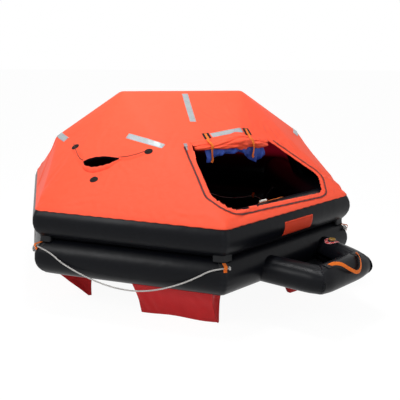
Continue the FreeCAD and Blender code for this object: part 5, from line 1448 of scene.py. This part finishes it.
def pocket(name):
    """An open-topped cloth trough: loops round a rectangle lofted from the weighted keel to the seams.

    At height share h the loop's long sides lie at in(h) between the keel and the seams. The sides bow in by
    9 mm sin(pi h), the ends by 26 mm sin(pi h) sin(pi c), and upright creases fade towards the seams.
    """
    side, start, keel, seed = POCKETS[name]
    h = np.linspace(0, 1, 44)[:, None]
    along_steps, end_steps = np.linspace(0, 1, 64), np.linspace(0, 1, 16)
    a = np.concatenate([along_steps, 1 + 0 * end_steps[1:], along_steps[::-1][1:], 0 * end_steps[1:]])[None, :]
    c = np.concatenate([0 * along_steps, end_steps[1:], 1 + 0 * along_steps[1:], end_steps[::-1][1:]])[None, :]
    outer = keel - 0.012 + (-0.086 - keel + 0.012) * h
    inner = keel + 0.012 + (0.260 - keel - 0.012) * h
    inward = outer + (inner - outer) * c
    top = 0.2925 + (0.3030 - 0.2925) * c
    slack = 0.15 if name == "boarding" else 0.0
    low = 0.0006 + slack * (1 - smooth(a, 0.20, 0.36))
    height = low + (top - low) * h
    side_sign = np.where(c == 0, 1.0, np.where(c == 1, -1.0, 0.0))
    is_side = np.abs(side_sign)
    bell = np.sin(np.pi * h)
    fold = np.sin(2 * np.pi * (a * POCKET_LEN / 0.088 + 0.8 * noise(a * 0.6, h * 0.5, 0.3, seed)))
    fold = fold * smooth(noise(a * 0.6, h * 0.2, 0.12, seed + 20), -0.3, 0.6)
    sag = noise(a * 0.6, h * 0.3, 0.14, seed + 40)
    push = is_side * (0.009 * bell * (4 * a * (1 - a)) ** 0.5 + 0.0035 * fold * bell + 0.005 * sag * bell)
    inward = inward + side_sign * np.minimum(push, (inner - outer) * 0.42)
    is_end = 1 - is_side
    ends = np.where(a < 0.5, 1.0, -1.0)
    pull = is_end * (0.026 * np.sin(np.pi * c) + 0.004 * noise(c, h, 0.2, seed + 60)) * bell
    hang = 0.010 * bell * (1 + 0.35 * (a > 0.5))
    shift = ends * (pull + hang * is_end) + is_side * hang * (1 - 2 * a) * (4 * (a - 0.5) ** 2)
    along = start + POCKET_LEN * a + shift
    uneven_hem = 0.010 * (1 - h) ** 2 * (0.5 + 0.5 * np.sin(2 * np.pi * a * 1.3 + seed)) * (a > 0) * (a < 1)
    points = side_point(side, along, -inward, height + uneven_hem)
    keel_line = side_point(side, along[0], -(keel + 0 * a[0]), height[0] + uneven_hem[0])
    points = np.concatenate([keel_line[None], points])
    h_all = np.concatenate([h[:1], h])
    metres = stacked(travelled(points[-1])[None, :], h_all * 0.32)
    # darker towards the top as painted shade under the raft, and in a narrow line just above the keel
    mark = 0.55 * smooth(h_all, 0.62, 1.0) + 0.25 * hump(h_all - 0.09, 0.012) + 0 * a
    sheet = Cloth().grid(points, metres, mark).piece(f"ballast_pocket_{name}", "pocket_fabric", outward=False)
    return thicken(sheet, POCKET_THICK, 0.0)


pocket_pieces = [pocket(name) for name in POCKETS]


BOTTLE_X, BOTTLE_R = 0.640, 0.07


def bottle_straps():
    """Webbing round the gas bottle: wings on the floor's underside and a band of radius 73.5 mm below."""
    centre = np.array([BOTTLE_X, 0.0, FLOOR_Z - BOTTLE_R - 0.0006 - 0.003])
    runs = []
    for y in (-0.150, 0.150):
        stations = []
        for turn in np.radians(np.linspace(168, 372, 18)):
            facing = np.array([math.cos(turn), 0, math.sin(turn)])
            stations.append((centre + [0, y, 0] + facing * 0.0706, facing))
        wings = [(np.array([BOTTLE_X + x, y, FLOOR_Z - 0.0002]), -UP)
                 for x in (-0.114, -0.100, -0.086, 0.086, 0.100, 0.114)]
        runs.append(wings[:3] + stations + wings[3:])
    webbing("bottle_straps", runs, 0.040, 0.0022, "strap_webbing")


bottle_straps()


# ---- cords

def route_curve(name, route, diameter=0.0):
    """A cord's line: a smooth spline whose control points are the route's points."""
    curve = bpy.data.curves.new(name, "CURVE")
    curve.dimensions = "3D"
    curve.resolution_u = 12
    line = curve.splines.new("NURBS")
    line.points.add(len(route) - 1)
    line.points.foreach_set("co", np.hstack([np.asarray(route), np.ones((len(route), 1))]).astype(np.float32).ravel())
    line.order_u = 3
    line.use_endpoint_u = True
    if diameter:
        curve.bevel_depth, curve.bevel_resolution, curve.use_fill_caps = diameter / 2, 4, True
    return placed(name, curve)


def route_points(route, step):
    """Points of a route's spline, read from its mesh and spaced evenly."""
    guide = route_curve("guide", route)
    guide.data.resolution_u = 24
    bpy.context.view_layer.update()
    mesh = bpy.data.meshes.new_from_object(guide.evaluated_get(bpy.context.evaluated_depsgraph_get()))
    line = np.empty(len(mesh.vertices) * 3)
    mesh.vertices.foreach_get("co", line)
    line = line.reshape(-1, 3)
    bpy.data.meshes.remove(mesh)
    bpy.data.objects.remove(guide)
    far = travelled(line)
    at = np.linspace(0, far[-1], max(8, int(far[-1] / step)))
    return np.stack([np.interp(at, far, line[:, k]) for k in range(3)], -1)


def steady_frames(line):
    """Directions across a line that turn with it as little as they can: each is the last one made square to the run."""
    ahead = headings(line)
    across = np.empty_like(line)
    across[0] = unit(np.cross(ahead[0], UP + 0.01))
    for k in range(1, len(line)):
        across[k] = unit(across[k - 1] - ahead[k] * (across[k - 1] @ ahead[k]))
    return ahead, across, np.cross(across, ahead)


STRANDS = 3
ROPE_DIA, GRAB_DIA, CORD_DIA, HOSE_DIA = 0.011, 0.008, 0.005, 0.016


def laid_rope(name, route, diameter, lay, slot, step):
    """Twisted rope on a route's spline: r = R (0.85 + 0.15 |cos(n (t - 2 pi s / lay) / 2)|^0.7), grooves marked with
    painted shade.
    """
    line = route_points(route, step)
    _, across, up = steady_frames(line)
    s = travelled(line)[:, None]
    t = np.linspace(0, 2 * np.pi, 6 * STRANDS + 1)[None, :-1]
    swell = np.abs(np.cos(STRANDS * (t - 2 * np.pi * s / lay) / 2))
    r = diameter / 2 * (0.85 + 0.15 * swell ** 0.7)
    profile = np.stack([r * np.cos(t), r * np.sin(t)], -1)
    points, metres = carried(line, across, up, profile)
    # painted shade in the grooves between the strands
    shade = np.concatenate([swell, swell[:, :1]], axis=1)
    shade = 1 - np.concatenate([shade[:1], shade, shade[-1:]])
    obj = Cloth().grid(points, metres, shade ** 2).piece(name, slot)
    return obj, line


LIFELINE_SPAN = [(0.045, 0.145, 0.062), (0.130, 0.158, 0.004), (0.245, 0.160, -0.050), (0.375, 0.161, -0.097),
                 (0.515, 0.161, -0.130), (0.660, 0.161, -0.140), (0.800, 0.161, -0.121), (0.930, 0.160, -0.079),
                 (1.045, 0.160, -0.028), (1.140, 0.156, 0.026), (1.205, 0.143, 0.066)]
LOOP_SAG = 0.0057


def lifeline_end(corner, past):
    """A point of the lifeline's end run through a corner's loop, past its middle."""
    return plan(CORNERS[corner], LOOP_RADIUS, LOW_Z + TAB_MID - LOOP_SAG) + plan(CORNERS[corner] + 90, 1) * past


def lifeline_route():
    """The lifeline from the front corner the long way round to the right corner."""
    route = [lifeline_end("front", 0.022), lifeline_end("front", -0.040)]
    for side in ("lookout", "left", "rear_left", "rear_right", "right"):
        route += [side_point(side, along, out, LOW_Z + rise) for along, out, rise in reversed(LIFELINE_SPAN)]
        if side != "right":
            corner = list(CORNERS)[SIDES[side]]
            route.append(plan(CORNERS[corner], LOOP_RADIUS + 0.013, LOW_Z + TAB_MID + 0.009 - LOOP_SAG))
    return route + [lifeline_end("right", 0.040), lifeline_end("right", -0.022)]


GRAB_ROUTE = [
    ("right", 1.000, 0.157, 0.030), ("right", 1.042, 0.158, 0.030), ("right", 1.085, 0.162, 0.020),
    ("right", 1.120, 0.172, 0.024), ("rear_right", 0.130, 0.170, 0.032), ("rear_right", 0.158, 0.160, 0.042),
    ("rear_right", 0.205, 0.160, 0.041), ("rear_right", 0.290, 0.165, 0.018), ("rear_right", 0.400, 0.168, 0.002),
    ("rear_right", 0.510, 0.166, 0.006), ("rear_right", 0.594, 0.158, 0.030), ("rear_right", 0.662, 0.157, 0.030)]


def stopper_knot(name, centre, heading, size, rope):
    """An overhand knot: the trefoil ((2 + cos 3t) cos 2t, (2 + cos 3t) sin 2t, sin 3t) scaled and carried as rope."""
    t = np.linspace(0, 2 * np.pi, 97)
    x, y, z = (2 + np.cos(3 * t)) * np.cos(2 * t), (2 + np.cos(3 * t)) * np.sin(2 * t), 1.2 * np.sin(3 * t)
    side = unit(np.cross(heading, UP))
    top = np.cross(side, heading)
    line = centre + size / 3 * (x[:, None] * side + y[:, None] * top + z[:, None] * heading)
    _, across, up = steady_frames(line)
    turn = np.linspace(0, 2 * np.pi, 12, endpoint=False)
    points, metres = carried(line, across, up, rope / 2 * stacked(np.cos(turn), np.sin(turn)), closed=True)
    return Cloth().grid(points, metres).piece(name, "white_rope")


def cords():
    """The lifeline, grab line, lookout cords and gas hoses, each made along its route."""
    route = lifeline_route()
    rope, line = laid_rope("lifeline", route, ROPE_DIA, 0.045, "white_rope", 0.0045)
    knots = [stopper_knot(f"lifeline_knot_{corner}", lifeline_end(corner, way * 0.030),
                          way * plan(CORNERS[corner] + 90, 1), 0.010, 0.009)
             for corner, way in (("front", 1), ("right", -1))]
    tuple(route[0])
    route = [side_point(side, along, -inward, LOW_Z + rise) for side, along, inward, rise in GRAB_ROUTE]
    grab, line = laid_rope("grab_line", route, GRAB_DIA, 0.036, "white_rope", 0.005)
    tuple(route[0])
    lookout = {
        "lookout_cord_left": (0.214, [(0.2012, 0.4453, 0.010), (0.177, 0.4507, 0.010), (0.146, 0.484, 0.010),
                                      (0.112, 0.532, 0.009), (0.084, 0.572, 0.007), (0.066, 0.600, 0.0043)]),
        "lookout_cord_right": (0.224, [(0.4651, 0.494, 0.010), (0.489, 0.5014, 0.010), (0.536, 0.510, 0.010),
                                       (0.588, 0.534, 0.009), (0.636, 0.562, 0.007), (0.668, 0.584, 0.0043)]),
    }
    origin, run, slope, outward = FACETS["left"]
    for name, (length, spots) in lookout.items():
        route = [origin + run * along + slope * upslope + outward * lift for along, upslope, lift in spots]
        cord, line = laid_rope(name, route, CORD_DIA, 0.020, "dark_cord", 0.003)
        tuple(route[0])
    bottle = np.array([0.640, 0.0, FLOOR_Z - 0.0736])
    head_side, head_end = bottle + [0.023, 0.290, 0], bottle + [0, 0.322, 0]

    def inlet(along, inward, height):
        foot = side_point("right", along, -inward, height - math.sqrt(TUBE_R ** 2 - inward ** 2))
        axis = unit(foot - side_point("right", along, 0, height))
        return foot + axis * 0.0182, axis

    low, low_axis = inlet(0.850, 0.060, LOW_Z)
    high, high_axis = inlet(0.970, 0.110, HIGH_Z)
    hoses = {
        "hose_lower": (0.374, [head_side, head_side + [0.040, 0, 0], (0.770, 0.285, 0.219), (0.850, 0.268, 0.208),
                               (0.930, 0.248, 0.210), low + low_axis * 0.040, low]),
        "hose_upper": (0.660, [head_end, head_end + [0, 0.040, 0], (0.676, 0.398, 0.222), (0.760, 0.402, 0.214),
                               (0.838, 0.385, 0.216), (0.899, 0.350, 0.258), (0.899, 0.350, 0.346),
                               (0.890, 0.350, 0.405), (0.890, 0.350, 0.480), high + high_axis * 0.044, high]),
    }
    for name, (length, route) in hoses.items():
        hose = route_curve(name, np.array([np.asarray(p, float) for p in route]), HOSE_DIA)
        fitted(hose, name, "hose_rubber")
        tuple(route[0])


cords()


# ---- rigid parts that keep their shape

for part in frame["record"]["subparts"]:
    node = frame["nodes"][part["node"]]
    node.data.materials.clear()
    node.data.materials.append(FINISHES[part["material_slot"]])


# ---- floor, light and camera

def plainly_white(nodes, lit, white, share, output):
    """Shows plain white instead of the lit surface to rays from the camera, mirrored rays and rays through glass."""
    path = nodes.add("ShaderNodeLightPath").socket.node
    camera, glossy, through = (Value(nodes, path.outputs[f"Is {kind} Ray"])
                               for kind in ("Camera", "Glossy", "Transmission"))
    seen = camera.most(glossy).most(through) * share
    nodes.add(output, None, {"Surface": nodes.add("ShaderNodeMixShader", None, {0: seen, 1: lit, 2: white})})


def studio():
    """A pale floor with the raft's shadow, plain white surroundings, three soft lamps and the camera."""
    bpy.ops.mesh.primitive_plane_add(size=60, location=(0, 0, 0))
    ground = bpy.context.object
    ground.name = "studio_floor"
    paper, world = bpy.data.materials.new("studio_paper"), bpy.data.worlds.new("studio_world")
    for shown in (paper, world):
        shown.use_nodes = True
        shown.node_tree.nodes.clear()
    ground.data.materials.append(paper)
    bpy.context.scene.world = world
    nodes = Nodes(paper.node_tree)
    plainly_white(nodes, nodes.add("ShaderNodeBsdfDiffuse", None, {"Color": (0.8, 0.8, 0.8, 1)}),
                  nodes.add("ShaderNodeEmission", None, {"Strength": 1.07}), 0.88, "ShaderNodeOutputMaterial")
    nodes = Nodes(world.node_tree)
    lit, white = (nodes.add("ShaderNodeBackground", None, {"Color": (1, 1, 1, 1), "Strength": s}) for s in (0.42, 1.0))
    plainly_white(nodes, lit, white, 1.0, "ShaderNodeOutputWorld")

    for name, spot, aim, size, power in (("overhead", (-0.4, -0.9, 4.4), (0, 0, 0.6), 0.9, 85),
                                         ("front_left", (-3.9, -2.6, 3.4), (0, -0.4, 0.9), 1.6, 75),
                                         ("front_right", (3.0, -4.8, 2.4), (0.3, -0.4, 0.8), 2.4, 30)):
        lamp = bpy.data.lights.new(name, "AREA")
        lamp.size, lamp.energy = size, power
        back_way = unit(np.subtract(spot, aim).astype(float))
        side = unit(np.cross(UP, back_way))
        turn = Matrix(np.column_stack([side, np.cross(back_way, side), back_way]).tolist()).to_4x4()
        placed(name, lamp).matrix_world = Matrix.Translation(spot) @ turn

    lens = bpy.data.cameras.new("camera")
    lens.lens, lens.sensor_width = 55.7, 36
    eye = placed("camera", lens)
    turn = (Matrix.Rotation(math.radians(-13.83), 4, "Z") @ Matrix.Rotation(math.radians(74.99), 4, "X")
            @ Matrix.Rotation(math.radians(0.961), 4, "Z"))
    eye.matrix_world = Matrix.Translation((-1.0709, -5.0148, 1.9772)) @ turn
    bpy.context.scene.camera = eye
    bpy.context.scene.view_settings.view_transform = "Standard"


studio()
